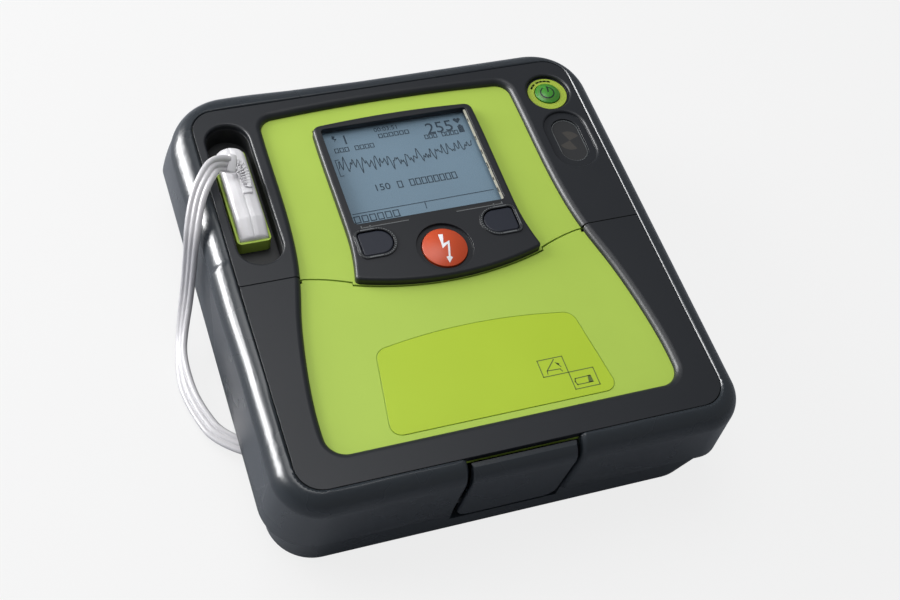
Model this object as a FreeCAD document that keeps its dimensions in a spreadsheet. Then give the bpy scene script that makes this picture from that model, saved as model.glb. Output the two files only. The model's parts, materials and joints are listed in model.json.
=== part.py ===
import FreeCAD, Part
import Sketcher
import math
import os
import re

# Portable defibrillator, modelled as separate pieces in millimetres.
# +Z is up, X runs across the face, +Y runs to the back edge, where the screen is.
# The origin is the centre of the case at the level that its rubber feet stand on.
# The lower half of the face is a lid over the battery; the upper half holds the controls.

Vector = FreeCAD.Vector
doc = FreeCAD.newDocument("defibrillator")
sheet = doc.addObject("Spreadsheet::Sheet", "Sizes")

SIZES = {
    # case wall where the bumper's round starts; the front right corner is tighter than the left
    "shell_side": 117.3, "shell_front": -121.7, "shell_back": 124.6,
    "front_right": 20, "front_left": 24, "back_corner": 33, "round_start": 61, "face_level": 73,
    # case wall at its lower edge, where it flares a little
    "skirt_side": 119.6, "skirt_front": -118.8, "skirt_back": 124.8,
    "skirt_right": 14.5, "skirt_left": 25, "skirt_corner": 10,
    # base
    "foot_height": 2.5, "foot_radius": 9, "foot_across": 85, "foot_along": 88,
    "base_top": 25, "wall": 3, "floor_thick": 2.5, "lip": 5, "lip_gap": 0.3,
    "floor_side": 114.4, "floor_front": -116.3, "floor_back": 119, "floor_corner": 23, "floor_round": 1.6,
    "inner_side": 111.2, "inner_front": -113, "inner_back": 116, "inner_corner": 20, "inner_turn": 28,
    "boss_across": 102, "boss_along": 103.5, "boss_radius": 8, "boss_top": 56.5, "screw_radius": 2,
    # the face: two frames inside the rounded bumper
    "face_width": 214, "face_depth": 226, "face_corner": 13, "gap": 0.35,
    "panel_top": 69.3, "panel_thick": 2, "ledge_top": 66.3, "ledge_thick": 2, "ledge_width": 3,
    "seam": 1, "seam_gap": 0.45, "recess_round": 3.2,
    # screen bezel
    "bezel_top": 74, "window_width": 82, "window_front": 24.6, "window_back": 88.5,
    "glass_thick": 1, "screen_margin": 1.8,
    # controls
    "key_centre": 33.3, "key_long": 17.3, "key_wide": 14.2, "key_row": 11.8, "key_top": 74.2,
    "clearance": 0.4, "flange": 1, "flange_bottom": 68, "flange_top": 69.15, "travel": 1.2,
    "shock_row": 2, "shock_radius": 11.6, "shock_recess": 14.7, "dome_top": 76,
    "power_across": 91.3, "power_row": 91, "power_radius": 6.9, "power_recess": 12.2, "ring_outer": 11,
    "status_row": 57, "status_width": 15.7, "status_length": 29.5, "dish_width": 23.6, "dish_length": 38.4,
    # electrode connector
    "pocket_across": -90.4, "pocket_radius": 11.6, "pocket_front": 11.9, "pocket_back": 102.5,
    "pocket_floor": 57, "plug_width": 15.3, "plug_front": 31, "plug_back": 89.5, "plug_across": -90.9,
    "plug_bottom": 62, "plug_top": 73.4, "cord_radius": 4,
    # lid hinge and latch
    "hinge_row": 7.6, "hinge_level": 67.6, "hinge_pin": 1.25, "hub_radius": 2.4, "arm_across": 92,
    "arm_width": 10, "arm_reach": 12, "arm_thick": 3, "running": 0.05,
    "latch_half": 26.3, "latch_gap": 2, "latch_bottom": 19.6, "latch_top": 70.2, "latch_row": -110.5,
    "latch_level": 22, "latch_pin": 1.5, "latch_inset": 0.4, "latch_corner": 7, "latch_well": -109,
    "cheek": 2, "opening_round": 3,
    # battery compartment
    "tray_top": 64.1, "well_half": 66, "well_front": -100, "well_back": -22, "well_floor": 20,
    "cell_radius": 8.4, "cell_length": 34,
    "grommet_radius": 6, "cord_row": -53, "cord_level": 9.4,
    # electronics
    "board_level": 48, "board_thick": 1.6,
}
for row, (alias, size) in enumerate(SIZES.items(), 1):
    sheet.set("A%d" % row, alias)
    sheet.set("B%d" % row, str(size))
    sheet.setAlias("B%d" % row, alias)
doc.recompute()

nodes = []


def bound(text):
    """Expression text with each alias pointed at the sheet."""
    return re.sub(r"[a-z][a-z_]+", lambda word: "Sizes." + word.group(0), str(text))


def value(text):
    """The number that an expression of aliases gives now."""
    return float(sheet.evalExpression(bound(text)))


def node(feature, label):
    """Name a finished sub-part; its label becomes its file's name."""
    feature.Label = label
    nodes.append(feature)
    return feature


def new_body(label):
    """An empty body that is a sub-part of its own."""
    return node(doc.addObject("PartDesign::Body", label), label)


def sketch_in(body, lift, role="XY_Plane"):
    """A sketch on one of the body's origin planes, lifted by an expression."""
    plane = [item for item in body.Origin.OriginFeatures if item.Role == role][0]
    sketch = body.newObject("Sketcher::SketchObject", body.Name + "_sketch")
    sketch.AttachmentSupport = (plane, "")
    sketch.MapMode = "FlatFace"
    sketch.setExpression("AttachmentOffset.Base.z", bound(lift))
    return sketch


def fix(sketch, kind, *args):
    """Add a constraint whose last argument is an expression of aliases."""
    index = sketch.addConstraint(Sketcher.Constraint(kind, *args[:-1], value(args[-1])))
    sketch.setExpression("Constraints[%d]" % index, bound(args[-1]))


def disc(x, y, radius):
    """Draw a circle."""
    def draw(sketch):
        circle = Part.Circle(Vector(value(x), value(y), 0), Vector(0, 0, 1), value(radius))
        line = sketch.addGeometry(circle)
        fix(sketch, "Radius", line, radius)
        fix(sketch, "DistanceX", -1, 1, line, 3, x)
        fix(sketch, "DistanceY", -1, 1, line, 3, y)
    return draw


def rect(left, right, front, back, corner=None):
    """Draw a rectangle between four bounds, with rounded corners if a radius is given.

    Four radii run front right, back right, back left, front left; None leaves a corner sharp.
    """
    corners = corner if isinstance(corner, tuple) else (corner,) * 4

    def draw(sketch):
        low, high = Vector(value(left), value(front), 0), Vector(value(right), value(back), 0)
        r = [value(radius) if radius else 0 for radius in corners]
        sides = [(Vector(low.x + r[3], low.y, 0), Vector(high.x - r[0], low.y, 0)),
                 (Vector(high.x, low.y + r[0], 0), Vector(high.x, high.y - r[1], 0)),
                 (Vector(high.x - r[1], high.y, 0), Vector(low.x + r[2], high.y, 0)),
                 (Vector(low.x, high.y - r[2], 0), Vector(low.x, low.y + r[3], 0))]
        lines = [sketch.addGeometry(Part.LineSegment(start, end)) for start, end in sides]
        for line, way in zip(lines, ("Horizontal", "Vertical", "Horizontal", "Vertical")):
            sketch.addConstraint(Sketcher.Constraint(way, line))
        for turn in range(4):
            this, following = lines[turn], lines[(turn + 1) % 4]
            if not corners[turn]:
                sketch.addConstraint(Sketcher.Constraint("Coincident", this, 2, following, 1))
                continue
            start, end = sides[turn][1], sides[(turn + 1) % 4][0]
            centre = Vector(end.x, start.y, 0) if turn % 2 else Vector(start.x, end.y, 0)
            first = math.radians(-90 + 90 * turn)
            circle = Part.Circle(centre, Vector(0, 0, 1), r[turn])
            arc = sketch.addGeometry(Part.ArcOfCircle(circle, first, first + math.pi / 2))
            sketch.addConstraint(Sketcher.Constraint("Tangent", this, 2, arc, 1))
            sketch.addConstraint(Sketcher.Constraint("Tangent", arc, 2, following, 1))
            fix(sketch, "Radius", arc, corners[turn])
        fix(sketch, "DistanceY", -1, 1, lines[0], 1, front)
        fix(sketch, "DistanceX", -1, 1, lines[1], 1, right)
        fix(sketch, "DistanceY", -1, 1, lines[2], 1, back)
        fix(sketch, "DistanceX", -1, 1, lines[3], 1, left)
    return draw


def centred(width, depth, corner=None):
    """Draw a rectangle centred on the origin."""
    half_width, half_depth = "(%s) / 2" % width, "(%s) / 2" % depth
    return rect("-" + half_width, half_width, "-" + half_depth, half_depth, corner)


def slot(x, front, back, radius):
    """Draw a slot along Y with round ends; front and back are its ends."""
    inside = "(%s) * 0.999" % radius
    return rect("(%s) - (%s)" % (x, radius), "(%s) + (%s)" % (x, radius), front, back, inside)


def curve(edges):
    """Draw a closed outline that is already made of curves, and hold it still."""
    def draw(sketch):
        for edge in edges:
            sketch.addGeometry(edge)
    return draw


def pad(body, draw, bottom, top):
    """Add material between two levels."""
    sketch = sketch_in(body, bottom)
    draw(sketch)
    feature = body.newObject("PartDesign::Pad", body.Name + "_pad")
    feature.Profile = sketch
    feature.setExpression("Length", bound("(%s) - (%s)" % (top, bottom)))
    return feature


def cut(body, draw, top, bottom):
    """Take material away from one level down to another."""
    doc.recompute()
    before = body.Shape.Volume
    sketch = sketch_in(body, top)
    draw(sketch)
    feature = body.newObject("PartDesign::Pocket", body.Name + "_pocket")
    feature.Profile = sketch
    feature.setExpression("Length", bound("(%s) - (%s)" % (top, bottom)))
    doc.recompute()
    if body.Shape.Volume > before - 1e-3:
        raise RuntimeError("a pocket of %s cuts nothing" % body.Label)
    return feature


def round_edges(body, chosen, radius, name="Fillet"):
    """Round or chamfer the edges of a body that a test picks."""
    doc.recompute()
    edges = ["Edge%d" % (i + 1) for i, edge in enumerate(body.Tip.Shape.Edges) if chosen(edge)]
    if not edges:
        raise RuntimeError("no edge to round on " + body.Label)
    base = body.Tip
    feature = body.newObject("PartDesign::" + name, body.Name + "_" + name.lower())
    feature.Base = (base, edges)
    feature.setExpression("Radius" if name == "Fillet" else "Size", bound(radius))
    doc.recompute()
    if "Invalid" in feature.State or feature.Shape.Volume <= 0 or not feature.Shape.isValid():
        raise RuntimeError("cannot round " + body.Label)


def level(z, reach=1e-3):
    """Test for edges that lie flat at one level."""
    height = value(z)
    return lambda edge: abs(edge.BoundBox.ZMin - height) < reach and abs(edge.BoundBox.ZMax - height) < reach


def both(*tests):
    """Test that holds when all of its tests do."""
    return lambda edge: all(test(edge) for test in tests)


def within(x0, x1, y0, y1):
    """Test for edges whose box lies inside a plan rectangle."""
    def test(edge):
        box = edge.BoundBox
        return box.XMin >= x0 and box.XMax <= x1 and box.YMin >= y0 and box.YMax <= y1
    return test


def upright(edge):
    """Test for edges that run straight up."""
    box = edge.BoundBox
    return box.ZLength > 0.1 and box.XLength < 1e-4 and box.YLength < 1e-4


def block(x, y, z):
    """A plain box between three pairs of bounds."""
    box = doc.addObject("Part::Box", "block")
    for size, place, (low, high) in (("Length", "x", x), ("Width", "y", y), ("Height", "z", z)):
        box.setExpression(size, bound("(%s) - (%s)" % (high, low)))
        box.setExpression("Placement.Base." + place, bound(low))
    return box


TURNS = {"x": FreeCAD.Rotation(Vector(0, 1, 0), 90), "y": FreeCAD.Rotation(Vector(1, 0, 0), -90),
         "z": FreeCAD.Rotation()}


def rod(axis, at, radius, length):
    """A cylinder that starts at a point and runs along +X, +Y or +Z."""
    bar = doc.addObject("Part::Cylinder", "rod")
    bar.Placement = FreeCAD.Placement(Vector(), TURNS[axis])
    bar.setExpression("Radius", bound(radius))
    bar.setExpression("Height", bound(length))
    for place, expression in zip("xyz", at):
        bar.setExpression("Placement.Base." + place, bound(expression))
    return bar


def join(*pieces):
    """One solid fused from several that touch."""
    fused = doc.addObject("Part::MultiFuse", "join")
    fused.Shapes = list(pieces)
    fused.Refine = True
    return fused


def less(base, *tools):
    """A solid with others taken away from it."""
    for tool in tools:
        remains = doc.addObject("Part::Cut", "less")
        remains.Base, remains.Tool = base, tool
        base = remains
    return base


def group(*pieces):
    """Separate solids that share one node."""
    together = doc.addObject("Part::Compound", "group")
    together.Links = list(pieces)
    return together


def mirrored(x_low, x_high):
    """The same pair of bounds on the left and on the right."""
    return [("-(%s)" % x_high, "-(%s)" % x_low), (x_low, x_high)]


# ---------------------------------------------------------------- outlines of the face

def spline(points):
    """A smooth curve through points in the plan."""
    line = Part.BSplineCurve()
    line.interpolate([Vector(x, y, 0) for x, y in points])
    return line


def flip(points):
    """The same points on the left side, in reverse."""
    return [(-x, y) for x, y in reversed(points)]


def arc_through(start, middle, end):
    """An arc through three plan points."""
    return Part.Arc(*[Vector(x, y, 0) for x, y in (start, middle, end)])


# Half of the green area's edge, from the front corner up the right side to the back corner.
RECESS_SIDE = [(88.4, -97), (89.0, -80), (87.6, -60), (84.8, -40), (80.9, -20), (77.4, -6), (74.9, 6),
               (72.7, 24), (71.5, 50), (70.5, 103)]
RECESS_BACK = 105.6
# Half of the screen bezel's edge, from its front corner up the right side.
BEZEL_SIDE = [(49.9, -7.2), (48.0, 1), (46.3, 12), (45.6, 30), (45.5, 60), (44.8, 91.4)]
BEZEL_FRONT, BEZEL_BACK = -14.8, 93.2
HALF_ROUND = 1 - math.sqrt(0.5)


def recess_outline():
    """The edge of the green area: straight front, waisted sides and bowed back."""
    (x0, y0), (x1, y1) = RECESS_SIDE[0], RECESS_SIDE[-1]
    return [spline(RECESS_SIDE),
            arc_through((x1, y1), (0, RECESS_BACK), (-x1, y1)),
            spline(flip(RECESS_SIDE)),
            Part.LineSegment(Vector(-x0, y0, 0), Vector(x0, y0, 0))]


def bezel_outline():
    """The edge of the screen bezel, with a bowed front and back."""
    (x0, y0), (x1, y1) = BEZEL_SIDE[0], BEZEL_SIDE[-1]
    return [spline(BEZEL_SIDE),
            arc_through((x1, y1), (0, BEZEL_BACK), (-x1, y1)),
            spline(flip(BEZEL_SIDE)),
            arc_through((-x0, y0), (0, BEZEL_FRONT), (x0, y0))]


def seam_outline(side, shift, trim=None):
    """Outline of the plate on one side of the seam; side is -1 for the lid, 1 for the fixed half.

    A trim gives the lid's plate a lower back edge where the lid's frame covers it.
    """
    half_x, half_y, corner = value("face_width / 2 - gap"), value("face_depth / 2 - gap"), value("face_corner")
    bend = corner * HALF_ROUND
    seam = value("seam") + shift
    reach, edge_x = 74.0, 75.2
    end_x, end_y = 50.7 - 0.5 * side * (1 if trim else 0), -5.9 + shift
    corner_y = -7.3 if side > 0 else -8.2
    low = BEZEL_FRONT - 0.45 + shift
    y0, y1 = side * (half_y - corner), side * half_y
    sag = seam - 2.7
    back = trim if trim else seam
    right = [(half_x, back), (edge_x, back), (edge_x, seam), (reach, seam)] if trim else \
            [(half_x, seam), (reach, seam)]
    sides = []
    for points in (right, flip(right)):
        sides.append([Part.LineSegment(Vector(*a, 0), Vector(*b, 0)) for a, b in zip(points, points[1:])])
    return [Part.LineSegment(Vector(half_x, y0, 0), Vector(half_x, back, 0)), *sides[0],
            arc_through((reach, seam), (62.5, sag), (end_x, end_y)),
            Part.LineSegment(Vector(end_x, end_y, 0), Vector(end_x, corner_y, 0)),
            arc_through((end_x, corner_y), (0, low), (-end_x, corner_y)),
            Part.LineSegment(Vector(-end_x, corner_y, 0), Vector(-end_x, end_y, 0)),
            arc_through((-end_x, end_y), (-62.5, sag), (-reach, seam)), *sides[1],
            Part.LineSegment(Vector(-half_x, back, 0), Vector(-half_x, y0, 0)),
            arc_through((-half_x, y0), (-half_x + bend, y1 - side * bend), (-half_x + corner, y1)),
            Part.LineSegment(Vector(-half_x + corner, y1, 0), Vector(half_x - corner, y1, 0)),
            arc_through((half_x - corner, y1), (half_x - bend, y1 - side * bend), (half_x, y0))]


def key_outline(side, grow):
    """A soft key's edge: flat outwards, half round towards the middle."""
    outer, wide = "key_centre + key_long / 2 + %s" % grow, "key_wide / 2 + %s" % grow
    x0 = side * value(outer)
    half, row = value(wide), value("key_row")
    turn = side * value("key_centre - key_long / 2 + key_wide / 2")
    tip, soft = turn - side * half, 2 + grow
    edge = half - soft
    pinch = soft * HALF_ROUND
    return [arc_through((turn, row + half), (tip, row), (turn, row - half)),
            Part.LineSegment(Vector(turn, row - half, 0), Vector(x0 - side * soft, row - half, 0)),
            arc_through((x0 - side * soft, row - half), (x0 - side * pinch, row - half + pinch), (x0, row - edge)),
            Part.LineSegment(Vector(x0, row - edge, 0), Vector(x0, row + edge, 0)),
            arc_through((x0, row + edge), (x0 - side * pinch, row + half - pinch), (x0 - side * soft, row + half)),
            Part.LineSegment(Vector(x0 - side * soft, row + half, 0), Vector(turn, row + half, 0))]


# ---------------------------------------------------------------- case

def loft(body, sections):
    """Add material through a stack of outlines, each with its own level."""
    sketches = []
    for lift, draw in sections:
        sketches.append(sketch_in(body, lift))
        draw(sketches[-1])
    feature = body.newObject("PartDesign::AdditiveLoft", body.Name + "_loft")
    feature.Profile = sketches[0]
    feature.Sections = sketches[1:]
    feature.Ruled = len(sections) == 2
    doc.recompute()


def wall_section(half, front, back, corners):
    """Draw the case's outline at one level."""
    return rect("-(%s)" % half, half, front, back, corners)


def bumper_section(angle):
    """Level and outline of the rounded bumper at one angle of its quarter round."""
    out, up = math.cos(math.radians(angle)), math.sin(math.radians(angle))

    def between(inner, outer):
        return "%s + (%s - (%s)) * %.5f" % (inner, outer, inner, out)

    lift = "round_start + (face_level - round_start) * %.5f" % up
    corners = tuple(between("face_corner", name)
                    for name in ("front_right", "back_corner", "back_corner", "front_left"))
    return lift, wall_section(between("face_width / 2", "shell_side"), between("-face_depth / 2", "shell_front"),
                              between("face_depth / 2", "shell_back"), corners)


def cavity(gap):
    """Draw the inside of the case wall, made smaller by a gap."""
    corners = tuple("%s - wall - %s" % (name, gap)
                    for name in ("front_right", "back_corner", "back_corner", "front_left"))
    return wall_section("shell_side - wall - 0.3 - %s" % gap, "skirt_front + wall + 0.2 + %s" % gap,
                        "shell_back - wall - 0.5 - %s" % gap, corners)


def opening(margin="0"):
    """Draw the latch's opening in the front of the case."""
    half = "(latch_half + latch_gap + %s)" % margin
    return rect("-" + half, half, "shell_front - 5", "latch_well + %s" % margin)


def boss_places():
    """The four corners where the base is screwed to the case."""
    return [(x, y) for x in ("-boss_across", "boss_across") for y in ("-boss_along", "boss_along")]


def outer_case():
    """Ring wall of the case, with the rounded bumper on top and a ledge that carries the face."""
    body = new_body("outer_case")
    loft(body, [("base_top", wall_section("skirt_side", "skirt_front", "skirt_back",
                                          ("skirt_right", "skirt_corner", "skirt_corner", "skirt_left"))),
                ("round_start", wall_section("shell_side", "shell_front", "shell_back",
                                             ("front_right", "back_corner", "back_corner", "front_left")))])
    loft(body, [bumper_section(angle) for angle in (0, 22, 45, 65, 80, 90)])
    cut(body, centred("face_width + 2 * gap - 0.7", "face_depth", "face_corner"), "face_level", "ledge_top")
    inner = "face_width - 2 * ledge_width", "face_depth - 2 * ledge_width", "face_corner - ledge_width"
    cut(body, centred(*inner), "ledge_top", "ledge_top - ledge_thick")
    cut(body, cavity("0"), "ledge_top - ledge_thick", "base_top")
    cut(body, opening(), "face_level + 1", "base_top - 1")
    half = value("latch_half + latch_gap")
    beside = lambda edge: (abs(abs(edge.BoundBox.XMin) - half) < 1e-3 and edge.BoundBox.XLength < 1e-3
                           and edge.BoundBox.ZLength > 3 and edge.BoundBox.YMin < value("skirt_front") + 0.1
                           and edge.BoundBox.ZMax < value("round_start") + 0.1)
    round_edges(body, beside, "opening_round")
    for number in range(5):
        x = -62 + 6 * number
        grille = rect(str(x - 1.3), str(x + 1.3), "shell_back - 6", "shell_back + 3")
        cut(body, grille, "56", "34")
    return body


def corner_blocks():
    """Four blocks bonded into the corners of the case wall, which take the screws from the base."""
    form = doc.addObject("PartDesign::Body", "corner_form")
    bottom, top = "base_top + lip + 0.5", "boss_top"
    pad(form, cavity("0"), bottom, top)
    blocks = []
    for x in mirrored("boss_across - boss_radius", "boss_across + 2 * boss_radius"):
        for y in mirrored("boss_along - boss_radius", "boss_along + 2 * boss_radius"):
            corner = doc.addObject("Part::Common", "corner")
            corner.Base, corner.Tool = form, block(x, y, (bottom, top))
            blocks.append(corner)
    bores = [rod("z", (x, y, bottom), "screw_radius", "foot_height + 44 - (%s)" % bottom) for x, y in boss_places()]
    return node(group(*[less(corner, *bores) for corner in blocks]), "corner_blocks")


def base_tray():
    """Bottom shell, stepped in under the outer case, with a lip that fits inside it."""
    body = new_body("base_tray")
    corners = ("floor_corner", "floor_corner - 3", "floor_corner - 3", "floor_corner")
    floor = wall_section("floor_side", "floor_front", "floor_back", corners)
    rim = wall_section("floor_side - floor_round", "floor_front + floor_round", "floor_back - floor_round",
                       tuple(radius + " - floor_round" for radius in corners))
    loft(body, [("foot_height", rim), ("foot_height + floor_round", floor)])
    top = ("skirt_right - 0.5", "skirt_corner + 2", "skirt_corner + 2", "skirt_left - 1")
    loft(body, [("foot_height + floor_round", floor),
                ("base_top", wall_section("skirt_side - 2", "skirt_front + 1.4", "skirt_back - 3", top))])
    pad(body, cavity("lip_gap"), "base_top", "base_top + lip")
    inner = wall_section("inner_side", "inner_front", "inner_back",
                         ("inner_corner", "inner_turn", "inner_turn", "inner_corner"))
    cut(body, inner, "base_top + lip", "foot_height + floor_thick")
    cut(body, opening(), "base_top + lip + 1", "latch_bottom - 3.6")
    for x, y in boss_places():
        pad(body, disc(x, y, "boss_radius - 1"), "foot_height + floor_thick - 0.5", "base_top + lip")
        cut(body, disc(x, y, "screw_radius + 0.1"), "base_top + lip + 1", "foot_height")
        cut(body, disc(x, y, "screw_radius * 2 + 0.3"), "foot_height + 3.6", "foot_height - 1")
    before = body.Shape.Volume
    hole = sketch_in(body, "0", "YZ_Plane")
    disc("cord_row", "cord_level", "grommet_radius")(hole)
    entry = body.newObject("PartDesign::Pocket", "cord_entry")
    entry.Profile = hole
    entry.setExpression("Length", bound("2 * skirt_side"))
    doc.recompute()
    if body.Shape.Volume > before - 1:
        raise RuntimeError("the cord entry cuts nothing")
    return body


def rubber_feet():
    """Four round feet under the base."""
    places = [(x, y) for x in ("-foot_across", "foot_across") for y in ("-foot_along", "foot_along")]
    feet = [rod("z", (x, y, "0"), "foot_radius", "foot_height") for x, y in places]
    return node(group(*feet), "rubber_feet")


def case_screws():
    """Four screws that draw the base up against the outer case."""
    screws = []
    for x, y in boss_places():
        head = rod("z", (x, y, "foot_height + 1"), "screw_radius * 2", "2.5")
        shank = rod("z", (x, y, "foot_height + 3"), "screw_radius", "40")
        screws.append(join(head, shank))
    return node(group(*screws), "case_screws")


def gasket(label, side):
    """Soft strip on the ledge, along three sides of one half of the face."""
    body = new_body(label)
    top = "panel_top - panel_thick - 0.1"
    for grow, draw_with in (("-0.6", pad), ("0.3 - ledge_width", cut)):
        half_x, half_y = "face_width / 2 + (%s)" % grow, "face_depth / 2 + (%s)" % grow
        corner = "face_corner + (%s)" % grow
        inside = draw_with is cut
        if side > 0:
            start = "-10" if inside else "seam * 1.5"
            strip = rect("-(%s)" % half_x, half_x, start, half_y, (None, corner, corner, None))
        else:
            start = "10" if inside else "-0.4 * seam"
            strip = rect("-(%s)" % half_x, half_x, "-(%s)" % half_y, start, (corner, None, None, corner))
        if inside:
            cut(body, strip, top, "ledge_top")
        else:
            pad(body, strip, "ledge_top", top)
    if side < 0:
        cut(body, opening("0.5"), top, "ledge_top")
    return body


# ---------------------------------------------------------------- the two halves of the face

def frame(label, side):
    """Dark frame of one half of the face, rounded down to the green area."""
    body = new_body(label)
    shift = side * value("seam_gap / 2")
    edges = seam_outline(side, shift)
    pad(body, curve(edges), "panel_top", "face_level")
    cut(body, curve(recess_outline()), "face_level", "panel_top")
    corners = both(upright, within(-92, 92, -98, 106), lambda edge: abs(edge.BoundBox.YMin) > 90)
    round_edges(body, corners, "8" if side > 0 else "10")
    inner = both(level("face_level"), within(-92, 92, -101, 110),
                 lambda edge: not (edge.Curve.TypeId == "Part::GeomLine" and edge.BoundBox.YLength < 1e-6
                                   and abs(edge.BoundBox.YMin) < 5))
    round_edges(body, inner, "recess_round")
    return body


def upper_frame():
    """Fixed frame round the controls, with the connector pocket's mouth and the button recesses."""
    body = frame("upper_frame", 1)
    pocket = slot("pocket_across", "pocket_front", "pocket_back", "pocket_radius")
    cut(body, pocket, "face_level", "panel_top")
    cut(body, disc("power_across", "power_row", "power_recess"), "face_level", "face_level - 2.6")
    cut(body, disc("power_across", "power_row", "ring_outer + 0.1"), "face_level", "panel_top")
    for width, length, floor in (("dish_width", "dish_length", "face_level - 1.5"),
                                 ("status_width", "status_length", "panel_top")):
        ends = "status_row - %s / 2" % length, "status_row + %s / 2" % length
        cut(body, slot("power_across", ends[0], ends[1], width + " / 2"), "face_level", floor)
    for left, right in mirrored("79.5", "104"):
        relief = rect(left, right, "seam - 1", "hinge_row + hub_radius + 0.3")
        cut(body, relief, "hinge_level + hub_radius + 0.4", "panel_top - 1")
    mouth = both(level("face_level"), within(-102.1, -78.7, 11.8, 102.6))
    round_edges(body, mouth, "1.2")
    rims = both(level("face_level"), within(78.9, 104, 37.7, 103.4))
    round_edges(body, rims, "1.1")
    return body


def lid_frame():
    """Dark frame of the lid; its back edge slopes so that it swings clear of the seam."""
    body = frame("lid_frame", -1)
    top, low = value("face_level"), value("panel_top")
    edge = value("seam - seam_gap / 2")
    slope = [(edge, top), (edge - 1.5, low), (edge - 1.5, low - 1), (edge + 2, low - 1), (edge + 2, top)]
    cut_across(body, slope)
    return body


def cut_across(body, corners):
    """Take a prism away whose outline is in the YZ plane and which runs the whole width."""
    before = body.Shape.Volume
    sketch = sketch_in(body, "0", "YZ_Plane")
    ends = zip(corners, corners[1:] + corners[:1])
    curve([Part.LineSegment(Vector(*start, 0), Vector(*end, 0)) for start, end in ends])(sketch)
    feature = body.newObject("PartDesign::Pocket", body.Name + "_slope")
    feature.Profile = sketch
    feature.SideType = "Symmetric"
    feature.setExpression("Length", bound("4 * skirt_side"))
    doc.recompute()
    if body.Shape.Volume > before - 1e-3:
        raise RuntimeError("a slope of %s cuts nothing" % body.Label)


def panel(label, side, outline):
    """Green inner plate of one half of the face."""
    body = new_body(label)
    pad(body, curve(outline), "panel_top - panel_thick", "panel_top")
    return body


def upper_panel():
    """Fixed green plate, open behind the screen, the keys, the connector and the buttons."""
    body = panel("upper_panel", 1, seam_outline(1, value("seam_gap / 2")))
    top, bottom = "panel_top", "panel_top - panel_thick"
    cut(body, rect("-44", "44", "20.8", "92.2"), top, bottom)
    cut(body, rect("-44", "44", "-6.5", "20.9"), top, bottom)
    cut(body, rect("-20", "20", "-11.2", "-6.4"), top, bottom)
    cut(body, slot("pocket_across", "pocket_front - 1.7", "pocket_back + 1.7", "pocket_radius + 1.7"), top, bottom)
    cut(body, disc("power_across", "power_row", "ring_outer + 0.1"), top, bottom)
    ends = "status_row - status_length / 2 - 1.5", "status_row + status_length / 2 + 1.5"
    cut(body, slot("power_across", ends[0], ends[1], "status_width / 2 + 1.5"), top, bottom)
    for left, right in mirrored("79.5", "110"):
        cut(body, rect(left, right, "seam - 2", "hinge_row + hub_radius + 0.9"), top, bottom)
    return body


def lid_panel():
    """Green plate of the lid, with a shallow bed for the label."""
    body = panel("lid_panel", -1, seam_outline(-1, -value("seam_gap / 2") - 0.35, -1.3))
    cut(body, curve(label_outline(0.35)), "panel_top", "panel_top - 0.4")
    return body


def label_outline(grow):
    """The lid label's edge: flared sides, a bowed top and round corners."""
    back, side, front, corner, bow = -46.2 + grow, 51.6 + grow, -92.8 - grow, 6 + grow, 4.2
    foot, pinch = 57.2 + grow, (6 + grow) * HALF_ROUND
    return [Part.LineSegment(Vector(foot - 0.3, front + corner, 0), Vector(side + 0.5, back - corner, 0)),
            arc_through((side + 0.5, back - corner), (side - pinch + 0.5, back - pinch), (side - corner, back + 0.4)),
            arc_through((side - corner, back + 0.4), (0, back + bow), (-side + corner, back + 0.4)),
            arc_through((-side + corner, back + 0.4), (-side + pinch - 0.5, back - pinch),
                        (-side - 0.5, back - corner)),
            Part.LineSegment(Vector(-side - 0.5, back - corner, 0), Vector(-foot + 0.3, front + corner, 0)),
            arc_through((-foot + 0.3, front + corner), (-foot + pinch, front + pinch), (-foot + corner, front)),
            Part.LineSegment(Vector(-foot + corner, front, 0), Vector(foot - corner, front, 0)),
            arc_through((foot - corner, front), (foot - pinch, front + pinch), (foot - 0.3, front + corner))]


def lid_label():
    """Plastic label in its bed on the lid."""
    body = new_body("lid_label")
    pad(body, curve(label_outline(0)), "panel_top - 0.4", "panel_top + 0.2")
    return body


def hinge_arms():
    """Two hooked arms under the lid that reach round the fixed half's front edge to the pins."""
    arms = []
    underside = "panel_top - panel_thick"
    for left, right in mirrored("arm_across - arm_width / 2", "arm_across + arm_width / 2"):
        x = (left, right)
        low = "hinge_level - arm_reach"
        hub = rod("x", (left, "hinge_row", "hinge_level"), "hub_radius", "arm_width")
        drop = block(x, ("hinge_row - arm_thick / 2", "hinge_row + arm_thick / 2"), (low, "hinge_level"))
        foot = block(x, ("hinge_row - arm_reach", "hinge_row + arm_thick / 2"),
                     (low, "hinge_level - arm_reach + arm_thick"))
        rise = block(x, ("hinge_row - arm_reach", "hinge_row - arm_reach + arm_thick"), (low, underside))
        bore = rod("x", (left + " - 1", "hinge_row", "hinge_level"), "hinge_pin + running", "arm_width + 2")
        arms.append(less(join(hub, drop, foot, rise), bore))
    return node(group(*arms), "hinge_arms")


def hinge_pins():
    """Two steel pins that the lid turns on."""
    pins = [rod("x", (left, "hinge_row", "hinge_level"), "hinge_pin", "arm_width + 10.4")
            for left, right in mirrored("arm_across - arm_width / 2 - 5.2", "arm_across + arm_width / 2 + 5.2")]
    return node(group(*pins), "hinge_pins")


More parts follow.
